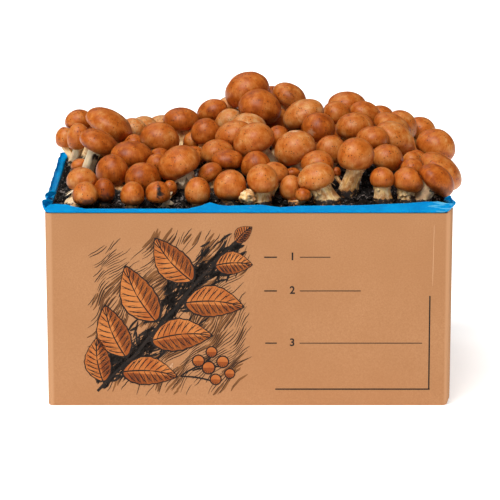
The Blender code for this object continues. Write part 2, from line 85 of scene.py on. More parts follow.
# %% Camera
EYE = Vector((1 * MM, -3200 * MM, 825 * MM))
# Degrees below level.
LOOK_DOWN = 12.33
# The sensor's width in millimetres, the picture's width in pixels, and the lens's length in such pixels.
SENSOR = 36.0
IMAGE = 500
FOCAL_PIXELS = 3182

lens = bpy.data.cameras.new("camera")
lens.sensor_width = SENSOR
lens.lens = SENSOR * FOCAL_PIXELS / IMAGE
camera = bpy.data.objects.new("camera", lens)
camera.location = EYE
camera.rotation_euler = (math.radians(90 - LOOK_DOWN), 0, 0)
bpy.context.scene.collection.objects.link(camera)
bpy.context.scene.camera = camera
print("lens in mm:", round(lens.lens, 1))

# %% [markdown]
# ## Helpers
#
# A colour is written as it looks on a screen and turned linear by one function. Another adds a shader node
# with its settings and its links, so that a material reads as a list of what it is made of.

# %% Make a piece from a mesh
def as_piece(name, mesh, materials, stands_for=(), smooth=True):
    mesh.name = name
    for material in materials:
        mesh.materials.append(material)
    mesh.polygons.foreach_set("use_smooth", [smooth] * len(mesh.polygons))
    piece = bpy.data.objects.new(name, mesh)
    bpy.context.scene.collection.objects.link(piece)
    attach(piece, "root")
    if stands_for:
        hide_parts(*stands_for)
    mesh.calc_loop_triangles()
    print(name + ":", len(mesh.loop_triangles), "triangles")
    return piece


def to_mesh(bm):
    """A mesh of the bmesh, which is freed."""
    mesh = bpy.data.meshes.new("mesh")
    bm.to_mesh(mesh)
    bm.free()
    return mesh


# %% Colours and nodes
def shade(code):
    """An sRGB colour such as "C48C60" as linear values."""
    parts = [int(code[i : i + 2], 16) / 255 for i in (0, 2, 4)]
    return [p / 12.92 if p <= 0.04045 else ((p + 0.055) / 1.055) ** 2.4 for p in parts] + [1.0]


def connect(tree, node, inputs):
    """Gives a node's inputs their values or links. A node means its first output, and a string a colour."""
    for name, value in inputs.items():
        if isinstance(name, int):
            socket = node.inputs[name]
        else:
            # A node keeps the sockets of the data types that it isn't set to, but they aren't enabled.
            socket = next(s for s in node.inputs if s.enabled and s.name == name)
        if isinstance(value, bpy.types.Node):
            value = next(s for s in value.outputs if s.enabled)
        if isinstance(value, bpy.types.NodeSocket):
            tree.links.new(value, socket)
        else:
            socket.default_value = shade(value) if isinstance(value, str) else value


def add(tree, kind, inputs=None, stops=(), **settings):
    """A shader node with its settings and inputs. A colour ramp also has stops: places and colours."""
    node = tree.nodes.new("ShaderNode" + kind)
    for name, value in settings.items():
        setattr(node, name, value)
    connect(tree, node, inputs or {})
    if stops:
        ramp = node.color_ramp.elements
        while len(ramp) < len(stops):
            ramp.new(0.5)
        for element, (place, code) in zip(ramp, stops):
            element.position = place
            element.color = shade(code)
    return node


def new_material(name):
    """A material, its node tree and its Principled shader."""
    material = bpy.data.materials.new(name)
    material.use_nodes = True
    return material, material.node_tree, material.node_tree.nodes["Principled BSDF"]


def per_metre(size):
    """The noise scale that gives features of this size in millimetres."""
    return 1 / (size * MM)


# %% [markdown]
# ## Floor and light
#
# The photograph has a pure white ground, and soft light from high on the left that leaves broad highlights on
# the tops of the caps and dark gaps between them. Area lamps would do, but they fade with distance, and the
# far floor would go grey. Wide suns light the whole floor evenly: a strong one high on the front left, a
# faint one straight from the front for the printed panel, and a faint one from behind. A pale world fills the
# gaps a little. The floor is like a product table of white acrylic that is lit from below too, so that
# shadows on it stay faint.

# %% Floor
FLOOR_SIZE = 30.0
FLOOR_GLOW = 0.6

floor_bm = bmesh.new()
bmesh.ops.create_grid(floor_bm, x_segments=1, y_segments=1, size=FLOOR_SIZE / 2)
floor_mesh = to_mesh(floor_bm)
white, tree, shader = new_material("white_floor")
paper = add(tree, "TexNoise", {"Scale": 2.0, "Detail": 2.0})
tone = add(tree, "ValToRGB", {"Fac": paper}, [(0.3, "FAFAFA"), (0.7, "FDFDFD")])
connect(tree, shader, {"Base Color": tone, "Roughness": 0.9, "Specular IOR Level": 0.2})
connect(tree, shader, {"Emission Color": tone, "Emission Strength": FLOOR_GLOW})
floor_mesh.materials.append(white)
floor = bpy.data.objects.new("floor", floor_mesh)
bpy.context.scene.collection.objects.link(floor)

# %% World and lamps
WORLD_STRENGTH = 0.07
# A sun's place doesn't matter to its light. It only has to be out of the way.
SUN_PLACE = (0, 0, 3)
# Name, bearing from the front and height in degrees (left is negative), width in degrees, strength, colour.
SUNS = (
    ("top", -30, 58, 40, 3.2, "FFFAF4"),
    ("front", 0, 20, 40, 0.15, "FDFDFF"),
    ("behind", -152, 50, 40, 0.32, "FFFFFF"),
)

world = bpy.data.worlds.new("studio")
world.use_nodes = True
backdrop = world.node_tree.nodes["Background"]
connect(world.node_tree, backdrop, {"Color": "FFFFFF", "Strength": WORLD_STRENGTH})
bpy.context.scene.world = world
bpy.context.scene.view_settings.view_transform = "Standard"
for name, bearing, height, width, strength, colour in SUNS:
    lamp = bpy.data.lights.new(name, "SUN")
    lamp.angle = math.radians(width)
    lamp.energy = strength
    lamp.color = shade(colour)[:3]
    holder = bpy.data.objects.new(name, lamp)
    holder.rotation_euler = (math.radians(90 - height), 0, math.radians(bearing))
    holder.location = SUN_PLACE
    bpy.context.scene.collection.objects.link(holder)
print("suns:", [sun[0] for sun in SUNS])

# %% [markdown]
# ## The carton
#
# Corrugated kraft board is matt and the brown of unbleached pulp, with short fibres in it that mottle it at
# about two millimetres. The upright folds are scored before they are bent, and they are painted paler along
# their rounding: a painted highlight where they catch the light. The flutes inside run upright about 7 mm
# apart and barely print through.

# %% Kraft board
CARTON_WIDTH = 400 * MM
CARTON_DEPTH = 300 * MM
CARTON_HEIGHT = 195 * MM
CARTON_TAPER = 1 * MM
CARTON_CORNER = 5.5 * MM
BOARD = 4 * MM
FLUTE = 7.2 * MM
# The board is painted paler along its rounded folds, a painted highlight. The stripe fades in between these
# two distances from a side, and between these two from the front or back.
SIDE_HIGHLIGHT = (7.6 * MM, 5.6 * MM)
FRONT_HIGHLIGHT = (8 * MM, 5 * MM)

kraft, tree, shader = new_material("kraft_board")
place = add(tree, "TexCoord").outputs["Object"]
fibres = add(tree, "TexNoise", {"Vector": place, "Scale": per_metre(1.5), "Detail": 6.0, "Roughness": 0.65})
clouds = add(tree, "TexNoise", {"Vector": place, "Scale": per_metre(60), "Detail": 3.0})
pulp = add(tree, "ValToRGB", {"Fac": fibres}, [(0.25, "A6754E"), (0.5, "B17F56"), (0.75, "BA8960")])
cloudy = add(tree, "MapRange", {"Value": clouds, "From Min": 0.35, "From Max": 0.65, "To Max": 0.45})
aged = add(tree, "Mix", {"Factor": cloudy, "A": pulp, "B": "A8754C"}, data_type="RGBA")
axes = add(tree, "SeparateXYZ", {"Vector": place})
stripes = []
for axis, half, (start, end), most in (
    ("X", CARTON_WIDTH / 2, SIDE_HIGHLIGHT, 1.0), ("Y", CARTON_DEPTH / 2, FRONT_HIGHLIGHT, 0.75),
):
    off = add(tree, "Math", {0: axes.outputs[axis]}, operation="ABSOLUTE")
    fading = {"Value": off, "From Min": half - start, "From Max": half - end, "To Max": most}
    stripes.append(add(tree, "MapRange", fading))
# Painted highlight on the folds, strongest where a side meets the front or back.
fold_highlight = add(tree, "Math", {0: stripes[0], 1: stripes[1]}, operation="MULTIPLY")
with_fold_highlight = add(tree, "Mix", {"Factor": fold_highlight, "A": aged, "B": "C2926B"}, data_type="RGBA")
flutes = add(tree, "Math", {0: axes.outputs["X"], 1: 2 * math.pi / FLUTE}, operation="MULTIPLY")
wash = add(tree, "Math", {0: flutes}, operation="SINE")
relief = add(tree, "Math", {0: wash, 1: 0.12, 2: fibres}, operation="MULTIPLY_ADD")
bump = add(tree, "Bump", {"Height": relief, "Strength": 0.18, "Distance": 0.3 * MM})
connect(tree, shader, {"Base Color": with_fold_highlight, "Normal": bump, "Roughness": 0.82, "Specular IOR Level": 0.28})

# %% [markdown]
# The carton starts as a cube. Its upright edges are bevelled into folds, the lid is taken away, and the shell
# is given the board's thickness. A groove across the underside is where the two bottom flaps meet. The fold
# on the right of the front is crushed at its foot, and its top stands higher than the panel, under lifted
# film.

# %% Carton
FOLD_STEPS = 5
BOTTOM_FOLD = 1.6 * MM
SEAM = 1.2 * MM
SEAM_DEPTH = 1.5 * MM
SEAM_WALL = 0.05 * MM
ROUNDED_EDGE = 0.3 * MM
# How high up the fold is crushed, how deep, how far its top rises, and how far back the rise has run out.
CRUSHED = 8 * MM
CRUSH_DEPTH = 2.6 * MM
FOLD_RISE = 4.5 * MM
FOLD_REACH = 25 * MM
# A face is level when its normal's Z is past this.
LEVEL = 0.9

bm = bmesh.new()
bmesh.ops.create_cube(bm, size=1.0)
bmesh.ops.scale(bm, verts=bm.verts, vec=(CARTON_WIDTH, CARTON_DEPTH, CARTON_HEIGHT))
bmesh.ops.translate(bm, verts=bm.verts, vec=(0, 0, CARTON_HEIGHT / 2))
for vert in bm.verts:
    if vert.co.z < CARTON_HEIGHT / 2:
        vert.co.x -= math.copysign(CARTON_TAPER, vert.co.x)
        vert.co.y -= math.copysign(CARTON_TAPER, vert.co.y)
upright = [e for e in bm.edges if abs(e.verts[0].co.z - e.verts[1].co.z) > CARTON_HEIGHT / 2]
bmesh.ops.bevel(
    bm, geom=upright, offset=CARTON_CORNER, segments=FOLD_STEPS, profile=0.5, affect="EDGES", material=-1
)
bmesh.ops.delete(bm, geom=[f for f in bm.faces if f.normal.z > LEVEL], context="FACES_ONLY")
around_bottom = [e for e in bm.edges if max(v.co.z for v in e.verts) < 1e-6]
bmesh.ops.bevel(
    bm, geom=around_bottom, offset=BOTTOM_FOLD, segments=3, profile=0.5, affect="EDGES", material=-1
)
for spot, facing in (
    ((0, -SEAM / 2, 0), (0, 1, 0)), ((0, SEAM / 2, 0), (0, 1, 0)), ((0, 0, CRUSHED), (0, 0, 1)),
    ((0, FOLD_REACH - CARTON_DEPTH / 2, 0), (0, 1, 0)),
):
    bmesh.ops.bisect_plane(bm, geom=bm.verts[:] + bm.edges[:] + bm.faces[:], plane_co=spot, plane_no=facing)
fold = [
    v for v in bm.verts
    if v.co.x > CARTON_WIDTH / 2 - 2 * CARTON_CORNER and v.co.y < 2 * CARTON_CORNER - CARTON_DEPTH / 2
]
for vert in fold:
    vert.co.x -= CRUSH_DEPTH * max(0, 1 - vert.co.z / CRUSHED)
    if vert.co.z > 0.99 * CARTON_HEIGHT and vert.co.x > CARTON_WIDTH / 2 - 0.8 * CARTON_CORNER:
        vert.co.z += FOLD_RISE
meeting = [f for f in bm.faces if f.normal.z < -LEVEL and abs(f.calc_center_median().y) < SEAM / 2]
sunk = bmesh.ops.inset_region(
    bm, faces=meeting, thickness=SEAM_WALL, depth=-SEAM_DEPTH, use_even_offset=True
)
bmesh.ops.recalc_face_normals(bm, faces=bm.faces)
carton = as_piece("carton_board", to_mesh(bm), [kraft], ["carton"])
board = carton.modifiers.new("board", "SOLIDIFY")
board.thickness = BOARD
board.offset = -1
board.use_even_offset = True
edges = carton.modifiers.new("edges", "BEVEL")
edges.width = ROUNDED_EDGE
edges.segments = 2
edges.limit_method = "ANGLE"
edges.angle_limit = math.radians(60)
print("carton folds:", len(upright), "seam faces:", len(sunk["faces"]))

# %% [markdown]
# ## The print
#
# The real carton is printed with two inks, black and russet, straight on the board. Each mark here is a flat
# mesh less than half a millimetre in front of the panel, and each layer of them lies over the one before. An
# image would be quicker, but a mesh stays sharp at any distance. The design is a generic one: russet leaves
# on a twig over black hatching, beside three dashes with plain numbers and rules, and an angle of two lines.

# %% Inks
def ink(name, colours, speck):
    """A printed ink that lets a little of the board's fibres through."""
    material, tree, shader = new_material(name)
    place = add(tree, "TexCoord").outputs["Object"]
    fibres = add(tree, "TexNoise", {"Vector": place, "Scale": per_metre(1.6), "Detail": 4.0})
    clouds = add(tree, "TexNoise", {"Vector": place, "Scale": per_metre(16), "Detail": 2.0})
    dark, light, through = colours
    wash = add(tree, "ValToRGB", {"Fac": clouds}, [(0.36, dark), (0.64, light)])
    gaps = add(tree, "MapRange", {"Value": fibres, "From Min": 0.6, "From Max": 0.75, "To Max": speck})
    worn = add(tree, "Mix", {"Factor": gaps, "A": wash, "B": through}, data_type="RGBA")
    connect(tree, shader, {"Base Color": worn, "Roughness": 0.75, "Specular IOR Level": 0.25})
    return material


black_ink = ink("black_ink", ("1B1613", "261E1A", "7A563A"), 0.3)
russet_ink = ink("russet_ink", ("AE5E28", "C67A3E", "8E451C"), 0.4)
deep_russet_ink = ink("deep_russet_ink", ("8A4318", "A25720", "6E2E10"), 0.4)
brown_ink = ink("brown_ink", ("6B4426", "83562F", "A87449"), 0.5)
scuffs = ink("scuffed_board", ("C3936B", "CFA480", "BC865B"), 0.3)

# %% Draw flat marks on the front panel
LAYER = 0.05 * MM


def front_of(height):
    """Y of the front panel's face at a height."""
    return -CARTON_DEPTH / 2 + CARTON_TAPER * (1 - height / CARTON_HEIGHT)


def lay_on_front(bm, verts, layer=1, slot=0):
    """Moves flat marks, drawn in X and Z, on to the panel. Marks of a higher layer lie over the others."""
    for vert in verts:
        vert.co.y = front_of(vert.co.z) - layer * LAYER
    for face in {f for v in verts for f in v.link_faces}:
        face.material_index = slot


def pen_line(bm, points, width, blunt=0.0, layer=1, slot=0):
    """A pen line through points in millimetres. It is widest in its middle; blunt keeps its ends wide."""
    steps = len(points) - 1
    grid = bmesh.ops.create_grid(bm, x_segments=steps, y_segments=1, size=0.5)["verts"]
    for vert in grid:
        along = vert.co.x + 0.5
        step = round(along * steps)
        ahead = (points[min(step + 1, steps)] - points[max(step - 1, 0)]).normalized()
        swell = width * (blunt + (1 - blunt) * math.sqrt(max(4 * along * (1 - along), 0)))
        spot = points[step] + Vector((-ahead.y, ahead.x)) * vert.co.y * swell
        vert.co = (spot.x * MM, 0, spot.y * MM)
    lay_on_front(bm, grid, layer, slot)


def stroke(bm, start, end, width, bend=0.0, blunt=0.0, steps=6, layer=1, slot=0):
    """A pen line from start to end. bend bows it to its left, as a share of its length."""
    start, end = Vector(start), Vector(end)
    aside = Vector((start.y - end.y, end.x - start.x)) * bend * 4
    shares = [i / steps for i in range(steps + 1)]
    pen_line(bm, [start.lerp(end, s) + aside * s * (1 - s) for s in shares], width, blunt, layer, slot)


# %% The drawing's grain and its dark ground
# The drawing fills a rounded field. Its grain runs along the twig's slant.
FIELD_MIDDLE = Vector((-78, 95.5))
FIELD_HALF = Vector((84, 87))
SLANT = Vector((0.665, 0.747))
ACROSS = Vector((-SLANT.y, SLANT.x))
GRAIN = 2.35
DARK_STROKES = 520
BLACK, RUSSET, DEEP, BROWN = range(4)

draw = np.random.default_rng(11)


def grain_point(along, off):
    """A point of the grain, from its place along and across the slant."""
    sway = 4.2 * math.sin(along / 16 + off / 23) + 1.4 * math.sin(along / 6.3 - off / 4.5)
    return FIELD_MIDDLE + SLANT * along + ACROSS * (off + sway)


def in_field(spot):
    """Whether a spot is inside the field, whose edge is a little ragged."""
    away = spot - FIELD_MIDDLE
    ragged = 0.04 * noise.noise(Vector((spot.x, spot.y, 0)) / 9)
    return (abs(away.x) / FIELD_HALF.x) ** 5 + (abs(away.y) / FIELD_HALF.y) ** 5 < 0.92 + ragged


def draw_along_grain(bm, spacing, longest, width, fullness, layer, slot, reach=125):
    """Broken lines that follow the grain, where a slow noise lets them."""
    for off in np.arange(-reach, reach, spacing):
        along = -reach + draw.uniform(0, 8)
        while along < reach:
            length = draw.uniform(0.35, 1.0) * longest
            shares = [along + length * i / 5 for i in range(6)]
            points = [grain_point(a, off + draw.uniform(-0.12, 0.12) * spacing) for a in shares]
            open_ground = noise.noise(Vector((*points[2], 2.0 * slot)) / 26) + fullness
            if open_ground > 0 and all(in_field(p) for p in points):
                pen_line(bm, points, width * draw.uniform(0.7, 1.3), 0.35, layer, slot)
            along += length + draw.uniform(0.5, 4)


bm = bmesh.new()
draw_along_grain(bm, 2.9, 34, 2.6, 0.02, 1, BROWN)
draw_along_grain(bm, GRAIN, 34, 0.75, 0.30, 2, BLACK)
for _ in range(DARK_STROKES):
    along = draw.uniform(-118, 118)
    off = draw.normal(0, 9.5) + 5 * math.sin(along / 21)
    slant = SLANT.orthogonal() * draw.normal(0, 0.35) + SLANT
    half = slant.normalized() * draw.uniform(4, 11)
    middle = grain_point(along, off)
    if in_field(middle - half * 1.1) and in_field(middle + half * 1.1):
        width, bend = draw.uniform(1.0, 3.4), draw.uniform(-0.1, 0.1)
        stroke(bm, middle - half, middle + half, width, bend, 0.2, 5, 3, BLACK)
print("pen lines:", len(bm.faces) // 5)

# %% Leaves, berries and the twig
TWIG = ((-150, 15), (-112, 52), (-72, 100), (-40, 138), (-8, 171))
# Each leaf: where it leaves the twig, its angle in degrees, its length and its width in millimetres.
LEAVES = (
    (-143, 21, 98, 50, 27), (-130, 34, -4, 60, 30), (-119, 46, 112, 62, 33), (-101, 65, 6, 66, 34),
    (-88, 82, 119, 70, 36), (-68, 104, -3, 64, 33), (-52, 124, 131, 62, 33), (-36, 142, 2, 40, 24),
    (-14, 165, 44, 24, 15),
)
BERRIES = ((-50, 46, 6.5), (-37, 55, 6), (-40, 39, 7), (-26, 45, 6.5), (-33, 27, 6), (-19, 33, 5.5))
BERRY_TWIGS = (((-68, 30), (-50, 40)), ((-68, 30), (-33, 24)), ((-56, 36), (-26, 40)), ((-44, 43), (-37, 50)))
VEINS = 8


def outlined_disc(bm, at, slots, outline, layer):
    """A disc with a pen outline, carried to the panel by at(along, across). slots are its halves' inks."""
    disc = bmesh.ops.create_circle(bm, cap_ends=True, radius=1.0, segments=48)["verts"]
    face = disc[0].link_faces[0]
    bmesh.ops.inset_individual(bm, faces=[face], thickness=outline)
    ring = {f for v in disc for f in v.link_faces}
    inner = set(face.verts)
    cut = bmesh.ops.bisect_plane(
        bm, geom=[face, *face.edges, *face.verts], plane_co=(0, 0, 0), plane_no=(0, 1, 0), dist=1e-5
    )["geom"]
    halves = {f for v in inner for f in v.link_faces if f not in ring}
    everything = set(disc) | inner | {g for g in cut if isinstance(g, bmesh.types.BMVert)}
    sides = {f: slots[0] if f.calc_center_median().y > 0 else slots[1] for f in halves}
    for vert in everything:
        x, y = vert.co.x, vert.co.y
        widest = math.sqrt(max(1 - x * x, 1e-6))
        spot = at((1 + x) / 2, max(-1.0, min(1.0, y / widest)))
        vert.co = (spot.x * MM, 0, spot.y * MM)
    lay_on_front(bm, everything, layer, BLACK)
    for half, slot in sides.items():
        half.material_index = slot


def leaf(bm, x, z, degrees, length, width):
    """A leaf with its midrib, its veins, and hatching on its shaded half."""
    angle = math.radians(degrees)
    ahead = Vector((math.cos(angle), math.sin(angle)))
    aside = Vector((-ahead.y, ahead.x))

    def at(along, across):
        """A point of the leaf, from 0 to 1 along it and from -1 to 1 across it."""
        along = min(max(along, 0), 1)
        half = width / 2 * math.sin(math.pi * along**0.8) ** 0.85 * (1 + 0.035 * math.sin(along * 42))
        curl = 0.07 * length * math.sin(math.pi * along)
        return Vector((x, z)) + ahead * (0.06 + 0.94 * along) * length + aside * (across * half + curl)

    outlined_disc(bm, at, (RUSSET, DEEP), 0.08, 5)
    stroke(bm, (x, z), at(0.5, 0), 1.3, 0.03, 0.8, layer=7)
    stroke(bm, at(0.5, 0), at(0.97, 0), 1.2, 0.03, 0.35, layer=7)
    for side in (-1, 1):
        for step in range(VEINS):
            root = 0.10 + 0.78 * step / VEINS
            tip = min(root + 0.17, 0.97)
            stroke(bm, at(root, 0), at(tip, side * 0.85), 0.9, 0.07 * side, 0.1, 5, 7)
            for line in range(2 if side > 0 else 4):
                low = root + 0.09 * (line + 1) / (3 if side > 0 else 5)
                reach = draw.uniform(0.55, 0.9) if side > 0 else draw.uniform(0.7, 0.95)
                stroke(bm, at(low + 0.1, side * 0.97), at(low + 0.02, side * (1 - reach)), 0.38, 0, 0.1, 3, 6)


def berry(bm, x, z, radius):
    """A round berry with a pen outline and a few hatches."""

    def at(along, across):
        """A point of the berry, in the same way."""
        turn = math.acos(max(-1.0, min(1.0, 1 - 2 * along)))
        return Vector((x - radius * math.cos(turn), z + radius * math.sin(turn) * across))

    outlined_disc(bm, at, (RUSSET, DEEP), 0.2, 6)
    for line in range(4):
        turn = -2.4 + 0.42 * line
        middle = Vector((x, z))
        rim = Vector((math.cos(turn), math.sin(turn))) * radius
        stroke(bm, middle + rim * 0.9, middle + rim * 0.45, 0.5, 0.1, 0, 3, 7)


for start, end in zip(TWIG, TWIG[1:]):
    stroke(bm, start, end, 3.0, 0.02, 0.85, layer=4)
for start, end in BERRY_TWIGS:
    stroke(bm, start, end, 1.7, 0.05, 0.6, layer=5)
for numbers in LEAVES:
    leaf(bm, *numbers)
for numbers in BERRIES:
    berry(bm, *numbers)
inks = [black_ink, russet_ink, deep_russet_ink, brown_ink]
as_piece("printed_leaves", to_mesh(bm), inks, smooth=False)

# %% Dashes, numbers and rules
DASHES = ((15, 27.5, 151), (15, 27.5, 117), (16, 27.5, 64))
NUMBER_X = 40
NUMBER_HEIGHT = 7.5
RULES = ((50, 80), (50, 110), (50, 171))
LINE = 1.3
# The angle of two lines: each line's lower left and upper right corner.
ANGLE = ((26, 16.3, 179, 17.7), (177.4, 17.7, 178.8, 112))


def bar(bm, x0, z0, x1, z1):
    """An upright or level bar between two corners, in millimetres."""
    grid = bmesh.ops.create_grid(bm, x_segments=1, y_segments=1, size=0.5)["verts"]
    for vert in grid:
        vert.co = ((x0 + (vert.co.x + 0.5) * (x1 - x0)) * MM, 0, (z0 + (vert.co.y + 0.5) * (z1 - z0)) * MM)
    lay_on_front(bm, grid)


def numeral(bm, text, x, z, height):
    """A plain numeral in the default typeface, flat on the panel."""
    curve = bpy.data.curves.new("numeral", "FONT")
    curve.body = text
    curve.size = height / 0.7
    curve.offset = 0.035 * height
    holder = bpy.data.objects.new("numeral", curve)
    bpy.context.scene.collection.objects.link(holder)
    flat = bpy.data.meshes.new_from_object(holder.evaluated_get(bpy.context.evaluated_depsgraph_get()))
    bpy.data.objects.remove(holder, do_unlink=True)
    before = set(bm.verts)
    bm.from_mesh(flat)
    drawn = [v for v in bm.verts if v not in before]
    for vert in drawn:
        vert.co = ((x + vert.co.x) * MM, 0, (z + vert.co.y) * MM)
    lay_on_front(bm, drawn)


bm = bmesh.new()
for number, ((x0, x1, z), (rule_start, rule_end)) in enumerate(zip(DASHES, RULES), start=1):
    bar(bm, x0, z - LINE / 2, x1, z + LINE / 2)
    numeral(bm, str(number), NUMBER_X, z - NUMBER_HEIGHT / 2 + 1, NUMBER_HEIGHT)
    bar(bm, rule_start, z - LINE / 3, rule_end, z + LINE / 3)
for corners in ANGLE:
    bar(bm, *corners)
as_piece("printed_lines", to_mesh(bm), [black_ink], smooth=False)

# %% Scuffs on the panel
# Each scuff: its two ends, its width, how wide its ends stay, and its layer.
SCUFFS = (
    ((181.5, 183), (180.6, 122), 0.6, 0.4, 1), ((-78.5, 39), (-75, 44), 1.8, 0.0, 8),
    ((-77, 43.5), (-75.5, 38), 1.0, 0.0, 8),
)

bm = bmesh.new()
for start, end, width, blunt, layer in SCUFFS:
    stroke(bm, start, end, width, blunt=blunt, layer=layer)
as_piece("board_scuffs", to_mesh(bm), [scuffs], smooth=False)

# %% [markdown]
# ## The film
#
# The bag is thin low-density polythene, dyed blue: satin, limp, and creased wherever it turns. Its edge
# stands a little above the carton, leans outwards, and crumples where it goes round a corner. A cloth
# simulation could drape it, but it would not give the edge that the photograph shows, so rings of points are
# extruded up the inside, over the board and out, and then pushed into waves and pleats.

# %% Blue polythene
film_blue, tree, shader = new_material("blue_polythene")
place = add(tree, "TexCoord").outputs["Object"]
soft = add(tree, "TexNoise", {"Vector": place, "Scale": per_metre(24), "Detail": 3.0})
creases = add(tree, "TexNoise", {"Vector": place, "Scale": per_metre(6), "Detail": 5.0, "Distortion": 0.8})
dye = add(tree, "ValToRGB", {"Fac": soft}, [(0.3, "007FCC"), (0.55, "008CDA"), (0.8, "0098E8")])
# Painted highlights: pale streaks are painted on the creases, running down towards the front's right corner.
axes = add(tree, "SeparateXYZ", {"Vector": place})
at_end = add(
    tree, "MapRange",
    {"Value": axes.outputs["X"], "From Min": 168 * MM, "From Max": 186 * MM, "To Max": 0.22},
)
at_front = add(
    tree, "MapRange",
    {"Value": axes.outputs["Y"], "From Min": -142 * MM, "From Max": -120 * MM, "To Min": 1.0, "To Max": 0.3},
)
highlight_zone = add(tree, "Math", {0: at_end, 1: at_front}, operation="MULTIPLY")
drawn = add(
    tree, "Mapping", {"Vector": place, "Rotation": (0, math.radians(-38), 0), "Scale": (0.4, 1.0, 2.4)},
)
streaks = add(tree, "TexNoise", {"Vector": drawn, "Scale": per_metre(5), "Detail": 2.0})
highlight_streaks = add(tree, "Math", {0: streaks, 1: highlight_zone}, operation="ADD")
painted_crease_highlight = add(tree, "MapRange", {"Value": highlight_streaks, "From Min": 0.73, "From Max": 0.84, "To Max": 0.65})
dye_with_painted_highlight = add(tree, "Mix", {"Factor": painted_crease_highlight, "A": dye, "B": "6CC4EE"}, data_type="RGBA")
bump = add(tree, "Bump", {"Height": creases, "Strength": 0.5, "Distance": 1.2 * MM})
connect(
    tree, shader,
    {
        "Base Color": dye_with_painted_highlight, "Normal": bump, "Roughness": 0.42, "IOR": 1.51, "Specular IOR Level": 0.04,
        "Subsurface Weight": 0.5, "Subsurface Radius": (0.3, 0.5, 0.65), "Subsurface Scale": 2.0 * MM,
    },
)

# %% The film's edge
FILM = 0.15 * MM
LINER_CORNER = 7 * MM
LINER_RISE = 5 * MM
LINER_OVERHANG = 1.6 * MM
SAG_PLACE = Vector((200 * MM, -78 * MM))
SAG_LENGTH = 60 * MM
SAG_DEPTH = 6 * MM
# Height of the front edge over the rim: (x, height) in millimetres, left to right. Elsewhere the edge is
# LINER_RISE high, with a sag at the right.
FRONT_EDGE = (
    (-200, 9.8), (-190, 9.8), (-179, 9.4), (-168, 6.5), (-160, 5), (-60, 5), (-47, 8), (-38, 11.5), (-30, 9),
    (-22, 8), (11, 9), (30, 6.5), (50, 8), (110, 8.5), (130, 9.5), (155, 10.5), (172, 12), (200, 12.6),
)
# The edge folds into lobes past the front corners. Each row, in millimetres: how far past the corner (along
# the front is negative), the edge's height over the rim, how far it reaches to the side and to the front, and
# how far the film lifts off the rim. A reach of less than nothing to the side folds it in over the rim.
LEFT_LOBES = (
    (-14, 9.8, 0, 1.6, 0), (-9, 9.8, 0.3, 2.0, 0), (-5, 9.0, 0.6, 2.2, 0), (-2.5, 7.6, 0.8, 2.0, 0),
    (-0.5, 5.4, 0.9, 1.4, 0), (1.5, 5.4, 1.2, 0.6, 0), (3.5, 8.4, 2.2, 0, 0.5), (6.5, 11, 3.0, 0, 1),
    (9, 12, 2.2, 0, 1), (12.5, 11.6, -1.3, 0, 1), (16, 10.6, -4, 0, 0.5), (19.5, 8.2, -8, 0, 0),
    (22, 6.5, -5.5, 0, 0), (25, 6, -1, 0, 0), (29, 7.5, -0.5, 0, 0), (34, 9.5, -1.8, 0, 0),
    (39, 9.5, -1.8, 0, 0), (44, 8, 0.8, 0, 0), (49, 7.8, 2.4, 0, 1), (53, 9.2, 2.2, 0, 1.5),
    (57, 10.4, -0.5, 0, 1), (60, 10.6, -4.5, 0, 0.5), (63, 8.8, -8.5, 0, 0), (66, 6.5, -7, 0, 0),
    (70, 5, -2, 0, 0), (75, 4.6, 0.8, 0, 0), (110, 5, 1.6, 0, 0),
)
RIGHT_LOBES = (
    (-16, 12.6, 0, 1.6, 0), (-12, 11.6, 0, 2.0, 0), (-8, 11, 0.4, 2.2, 0.5), (-4, 10.8, 0.9, 2.4, 1.5),
    (-1, 10.4, 1.8, 2.0, 3.5), (1, 10, 2.6, 1.2, 4.5), (3.5, 9.8, 3.2, 0.6, 5), (6, 10.6, 2.2, 0, 4.5),
    (8, 11.4, 0.8, 0, 4), (10, 12, -0.6, 0, 3), (13, 13.8, -1.4, 0, 2.5), (16, 15.2, -2.2, 0, 2),
    (18.5, 14, -4, 0, 1.5), (21, 11.5, -6.2, 0, 1), (24, 9, -8.4, 0, 0), (27, 7, -6, 0, 0),
    (31, 6, -1, 0, 0), (40, 5.5, 1.6, 0, 0),
)
FRONT = -CARTON_DEPTH / 2


def film_rise(point):
    """Height of the film's edge over the carton's rim at a point of its loop."""
    if point.y < FRONT + LINER_CORNER:
        places, heights = zip(*FRONT_EDGE)
        return float(np.interp(point.x / MM, places, heights)) * MM
    wave = 1.2 * MM * math.sin(point.x / (17 * MM)) * math.cos(point.y / (13 * MM))
    ripple = 1.0 * MM * noise.noise(Vector((point.x, point.y, 0)) / (12 * MM))
    sag = SAG_DEPTH * math.exp(-(((point - SAG_PLACE).length / SAG_LENGTH) ** 2))
    return LINER_RISE + wave + ripple - sag


def film_edge(point, outward):
    """Where the film's edge is, and how far the film lifts off the rim, at a point of the rim's outline."""
    past = point.y - FRONT - (CARTON_WIDTH / 2 - abs(point.x))
    lobes = np.array(LEFT_LOBES if point.x < 0 else RIGHT_LOBES) * MM
    if point.y > 0 or not lobes[0, 0] < past < lobes[-1, 0]:
        spot = point + outward * LINER_OVERHANG
        return Vector((spot.x, spot.y, CARTON_HEIGHT + film_rise(point))), 0.0
    height, aside, forward, lift = (float(np.interp(past, lobes[:, 0], lobes[:, i])) for i in (1, 2, 3, 4))
    spot = (point.x + math.copysign(1, point.x) * aside, point.y - forward, CARTON_HEIGHT + height)
    return Vector(spot), lift


